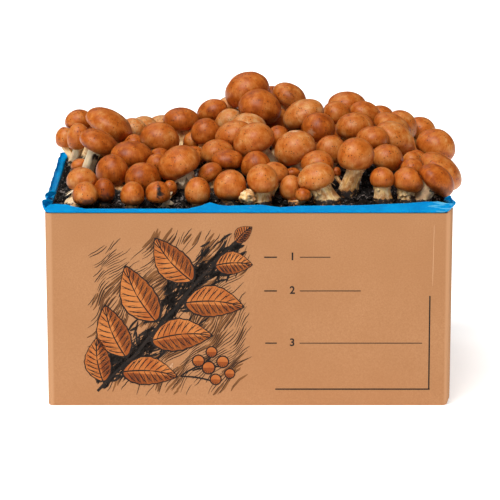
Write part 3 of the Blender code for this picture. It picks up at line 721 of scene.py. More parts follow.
def rounded_rectangle(half_x, half_y, radius, steps, corner_steps):
    """Points round a rounded rectangle, anticlockwise from its right back corner."""
    corners = ((1, 1), (-1, 1), (-1, -1), (1, -1))
    halves = (half_x, half_y, half_x, half_y)
    points = []
    for turn, ((sx, sy), half) in enumerate(zip(corners, halves)):
        middle = Vector((sx * (half_x - radius), sy * (half_y - radius)))
        for i in range(corner_steps + 1):
            angle = math.radians(90 * (turn + i / corner_steps))
            points.append(middle + radius * Vector((math.cos(angle), math.sin(angle))))
        ahead = Vector((-math.sin(angle), math.cos(angle)))
        stretch = 2 * (half - radius) / steps[turn]
        start = points[-1]
        points += [start + ahead * stretch * i for i in range(1, steps[turn])]
    return points


# %% The bag of film
LOOP_STEPS = (120, 110, 230, 110)
LOOP_CORNER_STEPS = 14
# Rows inside the carton and over its rim: (height, how far outside the carton's outer face), in millimetres.
FILM_ROWS = (
    (4.4, -6.6), (40, -6.3), (80, -5.9), (120, -5.4), (160, -5.0), (180, -4.8), (190, -4.7), (194.6, -4.6),
    (195.5, -3.9), (195.7, -2.2), (195.7, -0.6), (195.9, 0.25), (196.6, 0.55),
)
BRIM_ROWS = 10
# How many of the rows round the rim rise where the film lifts off it.
RIM_ROWS = 6
# How far from an upright corner the film is crumpled.
CRUMPLED = 34 * MM
# A point of the brim leans out over a side of the carton when it is this close to it, as a share.
AT_SIDE = 0.94
# How wide the brim's waves, creases, pleats and wrinkles are.
WAVES, CREASES, PLEATS, WRINKLES = 26 * MM, 9 * MM, 4.6 * MM, 3 * MM


def raise_loop(bm, ring, points):
    """Extrudes a closed ring of vertices on to the points. Returns the new ring in the same order."""
    edges = [bm.edges.get(pair) for pair in zip(ring, ring[1:] + ring[:1])]
    made = set(bmesh.ops.extrude_edge_only(bm, edges=edges)["geom"])
    twins = [next(e.other_vert(v) for e in v.link_edges if e.other_vert(v) in made) for v in ring]
    for twin, point in zip(twins, points):
        twin.co = point
    return twins


def near_corner(spot):
    """1 at an upright corner of the carton, 0 where the film is no longer crumpled."""
    away = Vector((abs(spot.x) - CARTON_WIDTH / 2, abs(spot.y) - CARTON_DEPTH / 2))
    return max(0.0, 1 - away.length / CRUMPLED)


def brim_point(low, high, share):
    """A point of the brim, part of the way up, with its waves, creases and pleats."""
    spot = low.lerp(high, share)
    corner = near_corner(spot)
    bulging = low.lerp(high, share ** (1 - 0.45 * corner))
    spot = Vector((bulging.x, bulging.y, spot.z))
    sides = (spot.x / (CARTON_WIDTH / 2), spot.y / (CARTON_DEPTH / 2))
    outward = Vector((*(side if abs(side) > AT_SIDE else 0 for side in sides), 0))
    outward = outward.normalized() if outward.length else outward
    waves = noise.noise(Vector((spot.x, spot.y, 0)) / WAVES + Vector((3, 0, 0)))
    creases = 0.6 - 2 * abs(noise.noise(Vector((spot.x, spot.y, 0.6 * spot.z)) / CREASES))
    pleats = 0.6 - 2 * abs(noise.noise(Vector((spot.x, spot.y, 0.3 * spot.z)) / PLEATS))
    wrinkles = noise.noise(spot / WRINKLES)
    belly = math.sin(math.pi * share) * 0.35
    push = (0.9 - 0.6 * corner) * waves + 0.5 * creases + 0.35 * corner * pleats
    push += (0.2 + 0.2 * corner) * wrinkles
    lift = 0.5 * corner * noise.noise(Vector((spot.x, spot.y, 5)) / (5 * MM))
    return spot + (outward * (belly + push * share) + Vector((0, 0, lift * share**2))) * MM


bm = bmesh.new()
loops = []
for height, outside in FILM_ROWS:
    half_x = CARTON_WIDTH / 2 + outside * MM
    half_y = CARTON_DEPTH / 2 + outside * MM
    loop = rounded_rectangle(half_x, half_y, LINER_CORNER, LOOP_STEPS, LOOP_CORNER_STEPS)
    loops.append([Vector((p.x, p.y, height * MM)) for p in loop])
outline = rounded_rectangle(CARTON_WIDTH / 2, CARTON_DEPTH / 2, LINER_CORNER, LOOP_STEPS, LOOP_CORNER_STEPS)
top = []
for column, point in enumerate(outline):
    outward = (outline[column - 1] - outline[(column + 1) % len(outline)]).orthogonal().normalized()
    spot, lift = film_edge(point, outward)
    top.append(spot)
    for loop in loops[-RIM_ROWS:]:
        loop[column].z += lift
ring = [bm.verts.new(p) for p in loops[0]]
first_edges = [bm.edges.new(pair) for pair in zip(ring, ring[1:] + ring[:1])]
bmesh.ops.edgeloop_fill(bm, edges=first_edges)
for loop in loops[1:]:
    ring = raise_loop(bm, ring, loop)
for row in range(1, BRIM_ROWS + 1):
    share = row / BRIM_ROWS
    ring = raise_loop(bm, ring, [brim_point(low, high, share) for low, high in zip(loops[-1], top)])
bmesh.ops.recalc_face_normals(bm, faces=bm.faces)
bag_area = sum(f.calc_area() for f in bm.faces)
liner = as_piece("film_bag", to_mesh(bm), [film_blue], ["liner"])
film = liner.modifiers.new("film", "SOLIDIFY")
film.thickness = FILM
film.offset = 0
film.use_rim = True
print("film in square metres:", round(bag_area, 3))

# %% [markdown]
# ## The compost
#
# The compost is straw and manure, rotted to a dark brown felt. Film and peat hide all of it, so the solid
# stays as it is and only gets its material: long pale straws, as stretched noise, in dark crumbs.

# %% Compost
straw_compost, tree, shader = new_material("straw_compost")
place = add(tree, "TexCoord").outputs["Object"]
combed = add(tree, "Mapping", {"Vector": place, "Scale": (0.15, 1.0, 1.0), "Rotation": (0.4, 0.3, 0.7)})
straws = add(tree, "TexNoise", {"Vector": combed, "Scale": per_metre(2.5), "Detail": 4.0})
rotted = add(tree, "ValToRGB", {"Fac": straws}, [(0.35, "1E140C"), (0.55, "4A3320"), (0.75, "8B6A42")])
bump = add(tree, "Bump", {"Height": straws, "Strength": 0.8, "Distance": 1 * MM})
connect(tree, shader, {"Base Color": rotted, "Normal": bump, "Roughness": 0.9})
compost = frame["nodes"]["compost_block"]
compost.data.materials.clear()
compost.data.materials.append(straw_compost)
print("compost:", [round(c / MM) for c in compost.dimensions])

# %% [markdown]
# ## The peat
#
# Wet black peat is nearly as dark as soot, with brown flecks of root. Small grey glints where water sits on
# the crumbs are painted into its colour as painted highlights. The layer is a fine grid that follows the
# solid's top, with lumps at three sizes pushed up by noise. Loose crumbs, and a few lumps that the mushrooms
# have lifted, lie on it.

# %% Black peat
peat_black, tree, shader = new_material("black_peat")
place = add(tree, "TexCoord").outputs["Object"]
crumb_noise = add(
    tree, "TexNoise", {"Vector": place, "Scale": per_metre(3.2), "Detail": 7.0, "Roughness": 0.7},
)
grains = add(tree, "TexVoronoi", {"Vector": place, "Scale": per_metre(1.7)})
earth = add(
    tree, "ValToRGB", {"Fac": crumb_noise},
    [(0.38, "060403"), (0.55, "0F0A08"), (0.68, "221812"), (0.82, "4A3C32")],
)
# Painted highlights: small grey glints are painted into the colour where water sits on the crumbs, more of
# them where a slow noise is high.
wetness = add(tree, "TexNoise", {"Vector": place, "Scale": per_metre(12), "Detail": 2.0})
drops = add(tree, "TexNoise", {"Vector": place, "Scale": per_metre(2.6), "Detail": 4.0, "Distortion": 0.6})
drop_sum = add(tree, "Math", {0: wetness, 1: 0.5, 2: drops}, operation="MULTIPLY_ADD")
painted_glints = add(tree, "MapRange", {"Value": drop_sum, "From Min": 0.83, "From Max": 0.91, "To Max": 0.6})
earth_with_painted_glints = add(tree, "Mix", {"Factor": painted_glints, "A": earth, "B": "A79C97"}, data_type="RGBA")
wet = add(
    tree, "MapRange",
    {"Value": drop_sum, "From Min": 0.7, "From Max": 0.85, "To Min": 0.75, "To Max": 0.25},
)
rough = add(tree, "Math", {0: crumb_noise, 1: 1.4, 2: grains.outputs["Distance"]}, operation="MULTIPLY_ADD")
bump = add(tree, "Bump", {"Height": rough, "Strength": 1.0, "Distance": 0.8 * MM})
connect(tree, shader, {"Base Color": earth_with_painted_glints, "Normal": bump, "Roughness": wet, "Specular IOR Level": 0.2})

straw_brown, tree, shader = new_material("old_straw")
place = add(tree, "TexCoord").outputs["Object"]
fleck = add(tree, "TexNoise", {"Vector": place, "Scale": per_metre(3), "Detail": 3.0})
tan = add(tree, "ValToRGB", {"Fac": fleck}, [(0.3, "5A3F27"), (0.7, "A9865A")])
connect(tree, shader, {"Base Color": tan, "Roughness": 0.8})

# %% The solid's ground
solid_peat = frame["nodes"]["peat_casing"]
PEAT_LOW, PEAT_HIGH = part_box("peat_casing")
corners = [v.co.copy() for v in solid_peat.data.vertices]
ground = BVHTree.FromPolygons(corners, [p.vertices[:] for p in solid_peat.data.polygons])
HALF_X = PEAT_HIGH.x
HALF_Y = PEAT_HIGH.y
# A place past this share of the layer is read from just inside its edge.
INSIDE = 0.995


def ground_under(x, y):
    """Height of the solid peat at a place."""
    x = min(max(x, -INSIDE * HALF_X), INSIDE * HALF_X)
    y = min(max(y, -INSIDE * HALF_Y), INSIDE * HALF_Y)
    hit = ground.ray_cast(Vector((x, y, 1.0)), Vector((0, 0, -1)))[0]
    return hit.z if hit else CARTON_HEIGHT


print("peat from", round(PEAT_LOW.z / MM), "to", round(PEAT_HIGH.z / MM), "mm up")

# %% The peat's surface
PEAT_COLUMNS = 240
PEAT_ROWS = 180
PEAT_WIDER = 0.9 * MM
PEAT_CORNER = 6 * MM
# How wide the big, middle and small lumps are.
BIG, MIDDLE, SMALL = 14 * MM, 6 * MM, 2.8 * MM


def lumps(x, y):
    """How far the lumps stand over the smooth ground."""
    spot = Vector((x, y, 0))
    big = noise.noise(spot / BIG) * 1.8
    middle = abs(noise.noise(spot / MIDDLE + Vector((7, 0, 0)))) * 3.2
    small = noise.noise(spot / SMALL) * 0.8
    return (big + middle + small - 0.7) * MM


def surface(x, y):
    """Height of the lumpy peat at a place."""
    return ground_under(x, y) + lumps(x, y)


bm = bmesh.new()
bmesh.ops.create_grid(bm, x_segments=PEAT_COLUMNS, y_segments=PEAT_ROWS, size=1.0)
half_x = HALF_X + PEAT_WIDER
half_y = HALF_Y + PEAT_WIDER
for vert in bm.verts:
    x = vert.co.x * half_x
    y = vert.co.y * half_y
    over = Vector((max(abs(x) - half_x + PEAT_CORNER, 0), max(abs(y) - half_y + PEAT_CORNER, 0)))
    if over.length > PEAT_CORNER:
        held = over.normalized() * PEAT_CORNER
        x = math.copysign(half_x - PEAT_CORNER + held.x, x)
        y = math.copysign(half_y - PEAT_CORNER + held.y, y)
    vert.co = (x, y, surface(x, y))
rim = [e for e in bm.edges if e.is_boundary]
for vert in bmesh.ops.extrude_edge_only(bm, edges=rim)["geom"]:
    if isinstance(vert, bmesh.types.BMVert):
        vert.co.z = PEAT_LOW.z
bmesh.ops.edgeloop_fill(bm, edges=[e for e in bm.edges if e.is_boundary])
bmesh.ops.recalc_face_normals(bm, faces=bm.faces)
as_piece("peat_layer", to_mesh(bm), [peat_black], ["peat_casing"])

# %% [markdown]
# ## Where the mushrooms stand
#
# The flush is set out from the photograph. Each row below says where the middle of a cap is seen on the
# plane of the front panel, how far back it stands, how large it is and how it leans. Caps that would press
# into each other are eased apart along their lines of sight, so the picture stays the same, and the feet are
# planted on the peat: together in a clump, clear of each other elsewhere.

# %% The flush
# Millimetres and degrees: x and z of the middle, back, width, height, lean to the right, shift of the foot.
FLUSH = {
    "a1_a2": ((-178, 76, 243, 21, 21, 0, 8), (-166, 76.5, 222, 23, 27, 0, 4)),
    "a3_a4": ((-165.5, 93, 255, 27, 21, -10, 0), (-134.5, 89, 212, 49, 27, 30, 0)),
    "a5_a13": ((-145.6, 71.5, 148, 40, 23, 25, 0), (-166, 49, 168, 17, 11, -20, 0)),
    "a6": ((-113.5, 59, 122, 42, 27, 8, 0),),
    "a7_a8": ((-133.4, 43.5, 78, 32, 30.5, 0, 0), (-103.4, 37, 66, 36, 28, 5, 0)),
    "a9_a10": ((-163, 34.2, 45, 30, 24, 5, -13), (-160, 20, 17, 25, 24, 0, -4)),
    "a11": ((-142, 19, 36, 22, 24, 0, 0),),
    "a12": ((-114, 20, 24, 24, 24, 0, 0),),
    "b1_b2": ((-113, 85, 235, 27, 20, 0, 0), (-102, 87, 262, 28, 20, 0, 0)),
    "b3_h3": ((-84, 88, 268, 31, 20, 0, 0), (-58, 85, 282, 30, 22, 0, 0)),
    "b4": ((-86, 76, 168, 38, 29.5, 15, 0), (-92, 61, 200, 24, 18, 0, 0)),
    "b5_b9": ((-66, 93.8, 212, 35, 23.5, 0, 0), (-55, 72.5, 192, 19, 18, 0, 0)),
    "b6_b7": ((-36, 103, 240, 30, 21, -20, 0), (-20, 106, 264, 24, 20, 0, 0)),
    "b8": ((-42, 81.5, 170, 29, 27, 0, 0), (-54, 56, 150, 24, 18, 0, 0)),
    "b10": ((-21, 93, 222, 27, 21, -35, 0),),
    "b11_b12": ((-1, 88, 184, 36, 24, 0, 0), (-16, 80, 158, 36, 24, -20, 0)),
    "b13_c8": ((4, 74.5, 124, 42, 31, -25, 4), (28.5, 76.5, 146, 22, 22, 0, 0)),
    "b14_b15": ((-31, 62, 118, 34, 24, 0, 0), (-21, 54, 94, 31, 20, 0, 0)),
    "b17": ((-69, 51.5, 66, 44, 31, -30, -6),),
    "b18_b19": ((-89.5, 51, 104, 21, 17, 0, 0), (-87, 57.5, 128, 22, 16, 0, 0)),
    "b20": ((-39, 41, 72, 25, 18, -30, 0),),
    "b21": ((-50, 23, 30, 26, 27, 0, 0),),
    "b22_b23": ((-89, 21, 28, 24, 22, 0, 2), (-77, 26, 50, 14, 16, 0, 0)),
    "b24": ((-18, 28.5, 34, 32, 31, 0, 0),),
    "b25": ((-112, 71.5, 186, 20, 15, 0, 0),),
    "c1": ((-3, 123.5, 236, 43, 33, -25, 4),),
    "c2": ((11, 107, 196, 43, 33, 15, 0),),
    "c3_c4": ((22, 116.5, 262, 22, 20, 0, 0), (40.5, 117, 236, 36, 23, 30, 0)),
    "c5_c6": ((28, 92.5, 214, 25, 25, 0, 0), (52, 99.3, 182, 43, 27, -25, 0), (30, 80, 232, 24, 20, 0, 0)),
    "c7": ((67, 86, 150, 34, 29, -10, 0), (72, 71, 200, 24, 18, 0, 0)),
    "c9": ((44, 66, 100, 43, 33, -25, 0),),
    "c10": ((7, 49, 82, 29, 27, 0, 0),),
    "c11_c12": ((13, 35, 32, 32, 29, 0, 2), (25, 41, 60, 27, 21, 5, 0), (-2, 15, 20, 15, 13, 0, 6)),
    "c13_c15": ((41, 26, 42, 22, 25, 0, 0), (53, 19, 22, 16, 14, 0, 0)),
    "c14_d7": ((43, 41, 84, 14, 10, 0, 4), (67, 51, 74, 33, 24, 0, 0)),
    "d1_d2": ((95, 110.3, 265, 36, 22, 0, 0), (86, 100, 232, 29, 22, 25, 0)),
    "d3_e1": ((114, 100, 238, 32, 22, 25, 0), (127.5, 97.5, 268, 28, 20, 0, 0)),
    "d4_d13": ((103, 87, 178, 37, 27, 0, 0), (82, 80, 204, 20, 17, 0, 0)),
    "d5": ((80, 64, 116, 30, 28, 0, 0), (60, 51, 138, 22, 18, 0, 0)),
    "d6_d9": ((104, 59.5, 58, 36, 32.5, 0, -6), (85, 42, 72, 10, 9, 0, 8)),
    "d8": ((65, 37.3, 35, 37, 27, -20, 6),),
    "d10": ((120.5, 75.5, 140, 32, 23, 0, 0), (112, 59, 175, 24, 18, 0, 0)),
    "d11": ((130, 36, 40, 24, 21, 0, 1),),
    "d12": ((135.5, 56, 95, 32, 26, 15, 0),),
    "e2_e3": ((140, 88, 198, 38, 22, 25, 0), (149, 88.5, 224, 33, 27, 40, 0), (154, 64, 200, 22, 17, 0, 0)),
    "e4_h9": ((168, 84, 242, 30, 24, 25, 0), (184, 69.5, 268, 26, 22, 10, 0)),
    "e5": ((143, 75.5, 150, 44.5, 29, 35, 4),),
    "e6": ((183, 68.5, 170, 39, 31, 25, -6),),
    "e7_e12": ((188.5, 43.3, 92, 48, 28, 40, -8), (159, 46, 84, 24, 18, 0, 0)),
    "e8_e9": ((184, 34.5, 50, 40, 26, 40, 0), (156, 34, 44, 30, 25, 15, 0)),
    "e10_e11": ((159, 53, 120, 20, 18, 0, 0), (163, 54.5, 140, 20, 18, 0, 0)),
    "h1_h2": ((-150, 79.5, 280, 28, 22, 0, 0), (-124, 82.5, 282, 28, 22, 0, 0)),
    "h4_h5": ((-32, 91, 284, 28, 22, 0, 0), (4, 99, 284, 32, 24, 0, 0)),
    "h6_h7": ((40, 97, 284, 30, 24, 0, 0), (68, 92, 276, 28, 22, 0, 0)),
    "h8": ((155, 77.5, 278, 30, 22, 0, 0),),
}
# A stump that was left when its mushroom was picked: it has no skin.
STUMPS = {("c11_c12", 2)}
# A stem's half width as a share of its cap's width, and where it differs, by clump and row.
STEM_SHARE = 0.25
THICK_STEMS = {
    ("d6_d9", 0): 0.25, ("d8", 0): 0.31, ("d11", 0): 0.34, ("e8_e9", 1): 0.29, ("a5_a13", 0): 0.17,
    ("b17", 0): 0.21,
}
# A foot's width as a share of its stem's, and where it differs.
FOOT_FLARE = 1.2
FEET = {("b17", 0): 0.55, ("a5_a13", 0): 1.0}


def sighted(x, z, back):
    """The point that is seen at x and z on the front panel's plane and stands this far behind it."""
    seen = Vector((x, FRONT, CARTON_HEIGHT + z))
    return EYE + (seen - EYE) * (1 + back / (FRONT - EYE.y))


class Mushroom:
    """One cap and its stem."""

    def __init__(self, clump, row, numbers):
        *lengths, degrees, aside = numbers
        x, z, back, width, height = (length * MM for length in lengths)
        self.clump = clump
        self.row = row
        self.seen = (x, z)
        self.back = back
        self.lean = math.radians(degrees)
        self.axis = Vector((math.sin(self.lean), 0, math.cos(self.lean)))
        self.foot_shift = aside * MM
        farther = 1 + back / (FRONT - EYE.y)
        self.half_width = width / 2 * farther
        # The cap is seen from a little above, so part of the height that is seen is its depth.
        slope = (EYE.z - CARTON_HEIGHT) / (FRONT - EYE.y)
        from_depth = width / 2 * slope
        own_square = max((height / 2) ** 2 - from_depth**2, (height / 3) ** 2)
        self.half_height = math.sqrt(own_square) * farther
        self.stem = THICK_STEMS.get((clump, row), STEM_SHARE) * width * farther

    def place(self):
        """Puts the cap's centre where it is seen, as far back as it stands."""
        self.centre = sighted(*self.seen, self.back)

    def reach(self, ahead):
        """How far the cap reaches from its centre in a direction."""
        along = ahead.dot(self.axis)
        return 1 / math.sqrt((1 - along**2) / self.half_width**2 + along**2 / self.half_height**2)


# %% Ease the caps apart and plant the feet
# How far back a cap may stand, how snugly two caps fit, and how much of an overlap one round takes away.
NEAREST = 14 * MM
FARTHEST = 286 * MM
SNUG = 0.94
EASE_ROUNDS = 120
EASE_SHARE = 0.25
# How close the feet of a clump stand, how far feet keep off others and off the film, how much they swell, and
# how much of a cap's lean its foot makes up for.
SHARED_FOOT = 0.6
FOOT_SPACE = 1.5 * MM
FOOT_SWELL = 1.03
FOOT_ROUNDS = 80
LEAN_TO_FOOT = 0.6
SOLID_FILM = 0.8 * MM


def ease_apart(flush):
    """Moves caps that press into each other apart along their lines of sight, which keeps their order."""
    for _ in range(EASE_ROUNDS):
        for mushroom in flush:
            mushroom.place()
        for i, one in enumerate(flush):
            for other in flush[i + 1 :]:
                apart = other.centre - one.centre
                if apart.length > one.half_width + other.half_width:
                    continue
                ahead = apart.normalized()
                room = SNUG * (one.reach(ahead) + other.reach(ahead))
                if apart.length >= room:
                    continue
                aside = apart.length**2 - apart.y**2
                wanted = math.sqrt(max(room**2 - aside, 0))
                shift = EASE_SHARE * (wanted - abs(apart.y)) * math.copysign(1, apart.y)
                one.back -= shift
                other.back += shift
        for mushroom in flush:
            mushroom.back = min(max(mushroom.back, NEAREST), FARTHEST)


def plant(flush):
    """Sets the feet on the peat: a clump's feet are grown together, other feet are clear of each other."""
    limit = Vector((CARTON_WIDTH / 2 - BOARD - SOLID_FILM, CARTON_DEPTH / 2 - BOARD - SOLID_FILM))
    for mushroom in flush:
        drop = mushroom.centre.z - ground_under(mushroom.centre.x, mushroom.centre.y)
        aside = mushroom.foot_shift - LEAN_TO_FOOT * drop * math.tan(mushroom.lean)
        mushroom.foot = Vector((mushroom.centre.x + aside, mushroom.centre.y))
    for _ in range(FOOT_ROUNDS):
        for i, one in enumerate(flush):
            for other in flush[i + 1 :]:
                apart = other.foot - one.foot
                both = FOOT_FLARE * (one.stem + other.stem)
                if one.clump == other.clump:
                    shift = min(SHARED_FOOT * both - apart.length, 0)
                else:
                    shift = max(both + FOOT_SPACE - apart.length, 0)
                one.foot -= apart.normalized() * shift / 2
                other.foot += apart.normalized() * shift / 2
        for mushroom in flush:
            margin = FOOT_FLARE * FOOT_SWELL * mushroom.stem + FOOT_SPACE
            mushroom.foot.x = min(max(mushroom.foot.x, margin - limit.x), limit.x - margin)
            mushroom.foot.y = min(max(mushroom.foot.y, margin - limit.y), limit.y - margin)


flush = [Mushroom(clump, row, numbers) for clump, rows in FLUSH.items() for row, numbers in enumerate(rows)]
ease_apart(flush)
plant(flush)
print("mushrooms:", len(flush), "in", len(FLUSH), "clumps")

# %% [markdown]
# ## The form of a mushroom
#
# A closed chestnut mushroom is a turned form that has been pushed about. Its cap is a dome whose margin rolls
# in under it, and its stem runs from there to the peat. It could be sculpted from a sphere, but a profile
# spun round an axis gives clean rings from the crown to the foot, which the skin's streaks can follow. Every
# ring is then placed, made a little out of round, and drawn in where a neighbour presses on it.

# %% Rings of a cap and its stem
SIDES = 48
# The cap: how far its margin drops and its widest part sags, in half heights, and how full its side is.
DOME_RINGS = 14
MARGIN_RINGS = 9
MARGIN_DROP = 0.86
FULLNESS = 2.6
SAG = 0.12
# The underside: how far it bulges down, where the neck is, in half heights, and its width in stems.
UNDER_RINGS = 4
UNDER_BULGE = 0.05
NECK_DROP = -0.80
NECK_WIDER = 1.04
# The stem: its waist, and how strongly it holds its direction at both ends. Its last rings are under the
# peat.
STEM_RINGS = 14
BURIED_RINGS = 2
WAIST = 0.07
PULL = 0.8
# How far a ring is out of round, how deep a stem's grooves, bulges and bumps are, and a cap's dents: shares
# of the radius, with the dents' widths. A stump's top is torn besides.
OVAL = 0.03
THREE_SIDED = 0.02
GROOVES = 0.035
BULGES = 0.10
BUMPS = 0.045
DENTS = ((0.022, 11 * MM), (0.006, 3.5 * MM))
TORN = ((0.5, 5 * MM), (0.3, 2.1 * MM))
# The least that shows of a stem, the gap between neighbours, how deep a stem ends under the peat, and how
# many points round a foot the ground is read at.
SHORTEST_STEM = 3 * MM
GAP = 0.3 * MM
BURIED = 2.5 * MM
COMPASS_POINTS = 8

cap_rows = []
for i in range(1, DOME_RINGS + 1):
    angle = math.pi / 2 * i / DOME_RINGS
    cap_rows.append((math.sin(angle), math.cos(angle)))
for i in range(1, MARGIN_RINGS + 1):
    down = MARGIN_DROP * math.sin(math.pi / 2 * i / MARGIN_RINGS)
    cap_rows.append(((1 - down**FULLNESS) ** (1 / FULLNESS), -down))
CAP_ROWS = [(wide, high - SAG * (1 - high**2)) for wide, high in cap_rows]
NECK = len(CAP_ROWS) + UNDER_RINGS
RINGS = NECK + STEM_RINGS


def ring_points(centre, along, aside, radius, wobble):
    """A ring of points about a centre, in the plane of two directions, with a factor for each point."""
    angles = np.arange(len(wobble)) * 2 * math.pi / len(wobble)
    outward = np.outer(np.cos(angles), along) + np.outer(np.sin(angles), aside)
    return np.array(centre) + outward * (radius * wobble)[:, None]


def curve_point(start, start_way, end, end_way, share):
    """A point on a smooth curve that leaves start and reaches end in the given ways."""
    s2, s3 = share**2, share**3
    return (
        start * (2 * s3 - 3 * s2 + 1) + start_way * (s3 - 2 * s2 + share)
        + end * (3 * s2 - 2 * s3) + end_way * (s3 - s2)
    )


def shape(mushroom, number):
    """Works out a mushroom's rings from the crown to the foot, and the centre that each may draw in to."""
    angles = np.arange(SIDES) * 2 * math.pi / SIDES
    wobble = 1 + OVAL * np.sin(2 * angles + 3.1 * number) + THREE_SIDED * np.sin(3 * angles + 1.7 * number)
    axis = mushroom.axis
    across = Vector((axis.z, 0, -axis.x))
    back = Vector((0, 1, 0))
    spots = [mushroom.foot]
    for point in range(COMPASS_POINTS):
        angle = 2 * math.pi * point / COMPASS_POINTS
        spots.append(mushroom.foot + FOOT_FLARE * mushroom.stem * Vector((math.cos(angle), math.sin(angle))))
    grounds = [ground_under(spot.x, spot.y) for spot in spots]
    floor_height = max(grounds) + GAP
    low = floor_height + SHORTEST_STEM - NECK_DROP * mushroom.half_height
    mushroom.centre.z = max(mushroom.centre.z, low)
    rings, centres = [], []
    for wide, high in CAP_ROWS:
        middle = mushroom.centre + axis * high * mushroom.half_height
        rings.append(ring_points(middle, across, back, wide * mushroom.half_width, wobble))
        centres.append(mushroom.centre)
    margin_wide, margin_high = CAP_ROWS[-1]
    neck = mushroom.centre + axis * NECK_DROP * mushroom.half_height
    for i in range(1, UNDER_RINGS + 1):
        share = i / UNDER_RINGS
        radius = margin_wide * mushroom.half_width * (1 - share) + mushroom.stem * NECK_WIDER * share
        high = margin_high * (1 - share) + NECK_DROP * share - UNDER_BULGE * math.sin(math.pi * share)
        middle = mushroom.centre + axis * high * mushroom.half_height
        rings.append(ring_points(middle, across, back, radius, wobble))
        centres.append(neck)
    foot = Vector((*mushroom.foot, floor_height))
    length = (neck - foot).length
    mushroom.neck, mushroom.root, mushroom.length = neck, foot, length
    sunk = Vector((0, 0, min(grounds) - BURIED - floor_height))
    for i in range(1, STEM_RINGS + 1):
        share = min(i / (STEM_RINGS - BURIED_RINGS), 1)
        middle = curve_point(neck, -axis * length * PULL, foot, Vector((0, 0, -PULL * length)), share)
        way = Vector((0, 0, 1)).lerp(axis, (1 - share) ** 2).normalized()
        aside = Vector((way.z, 0, -way.x))
        flare = FEET.get((mushroom.clump, mushroom.row), FOOT_FLARE)
        swell = 1 + (flare - 1) * share**2 - WAIST * math.sin(math.pi * share)
        grooves = 1 + GROOVES * np.sin(5 * angles + number) * math.sin(math.pi * share)
        grooves += [
            BULGES * share * noise.noise(Vector((math.cos(a) * 1.6, math.sin(a) * 1.6, 2.5 * share + number)))
            + BUMPS * noise.noise(Vector((math.cos(a) * 4, math.sin(a) * 4, 1.2 * share - number)))
            for a in angles
        ]
        middle = middle + sunk * max(i - STEM_RINGS + BURIED_RINGS, 0) / BURIED_RINGS
        rings.append(ring_points(middle, aside, back, mushroom.stem * swell, wobble * grooves))
        centres.append(middle)
    mushroom.points = np.array(rings)
    mushroom.centres = np.array(centres)
    for ring in range(NECK):
        for side in range(SIDES):
            spot = Vector(mushroom.points[ring, side])
            dent = sum(depth * noise.noise(spot / width) for depth, width in DENTS)
            if (mushroom.clump, mushroom.row) in STUMPS:
                dent += sum(depth * noise.noise(spot / width) for depth, width in TORN)
            mushroom.points[ring, side] = spot + (spot - mushroom.centre) * dent


for number, mushroom in enumerate(flush):
    shape(mushroom, number)
print("rings of a mushroom:", RINGS, "of", SIDES, "points")

# %% Neighbours press each other flat
# Planes are tried in this many directions. One keeps this far from a ring's centre, and this much of an edge
# beside it is rounded.
DIRECTIONS = 240
STEM_MARGIN = 1.2 * MM
ROUNDED = 2.5 * MM


def draw_in(mushroom, rings, normal, limit):
    """Draws the points near and past a plane in towards their ring's centre, with a rounded edge."""
    for ring in rings:
        centre = mushroom.centres[ring]
        room = limit - centre @ normal
        depth = mushroom.points[ring] @ normal - centre @ normal
        soft = min(ROUNDED, 0.5 * room)
        past = depth - (room - soft)
        held = room - soft + soft * np.tanh(np.maximum(past, 0) / soft)
        share = np.where(past > 0, held / np.maximum(depth, 1e-9), 1)
        mushroom.points[ring] = centre + (mushroom.points[ring] - centre) * share[:, None]


def part_pair(one, rings, other, other_rings, normals):
    """Draws two stretches of two mushrooms in to both sides of a plane, if they meet."""
    points = one.points[rings].reshape(-1, 3)
    other_points = other.points[other_rings].reshape(-1, 3)
    beyond = (points.min(0) > other_points.max(0) + GAP).any()
    before = (other_points.min(0) > points.max(0) + GAP).any()
    if beyond or before:
        return 0
    high = (points @ normals.T).max(0)
    low = (other_points @ normals.T).min(0)
    meeting = high - low + GAP
    if meeting.min() <= 0:
        return 0
    inner_high = (one.centres[rings] @ normals.T).max(0)
    inner_low = (other.centres[other_rings] @ normals.T).min(0)
    meeting = np.where(inner_low - inner_high > 2 * STEM_MARGIN, meeting, np.inf)
    best = int(meeting.argmin())
    if not np.isfinite(meeting[best]):
        return 0
    middle = (high[best] + low[best]) / 2
    middle = min(max(middle, inner_high[best] + STEM_MARGIN), inner_low[best] - STEM_MARGIN)
    draw_in(one, rings, normals[best], middle - GAP / 2)
    draw_in(other, other_rings, -normals[best], -middle - GAP / 2)
    return 1


turns = np.arange(DIRECTIONS)
heights = 1 - (2 * turns + 1) / DIRECTIONS
around = turns * math.pi * (3 - math.sqrt(5))
flat = np.sqrt(1 - heights**2)
normals = np.stack([flat * np.cos(around), flat * np.sin(around), heights], axis=1)
cap = list(range(NECK))
stem = list(range(NECK - 1, RINGS))
pressed = 0
for i, one in enumerate(flush):
    for other in flush[i + 1 :]:
        for rings, other_rings in ((cap, cap), (cap, stem), (stem, cap), (stem, stem)):
            if one.clump == other.clump and rings is stem and other_rings is stem:
                continue
            pressed += part_pair(one, rings, other, other_rings, normals)
for mushroom in flush:
    for ring in range(DOME_RINGS, NECK):
        for point in mushroom.points[ring]:
            point[2] = max(point[2], ground_under(point[0], point[1]) + SHORTEST_STEM / 2)
print("contacts:", pressed)
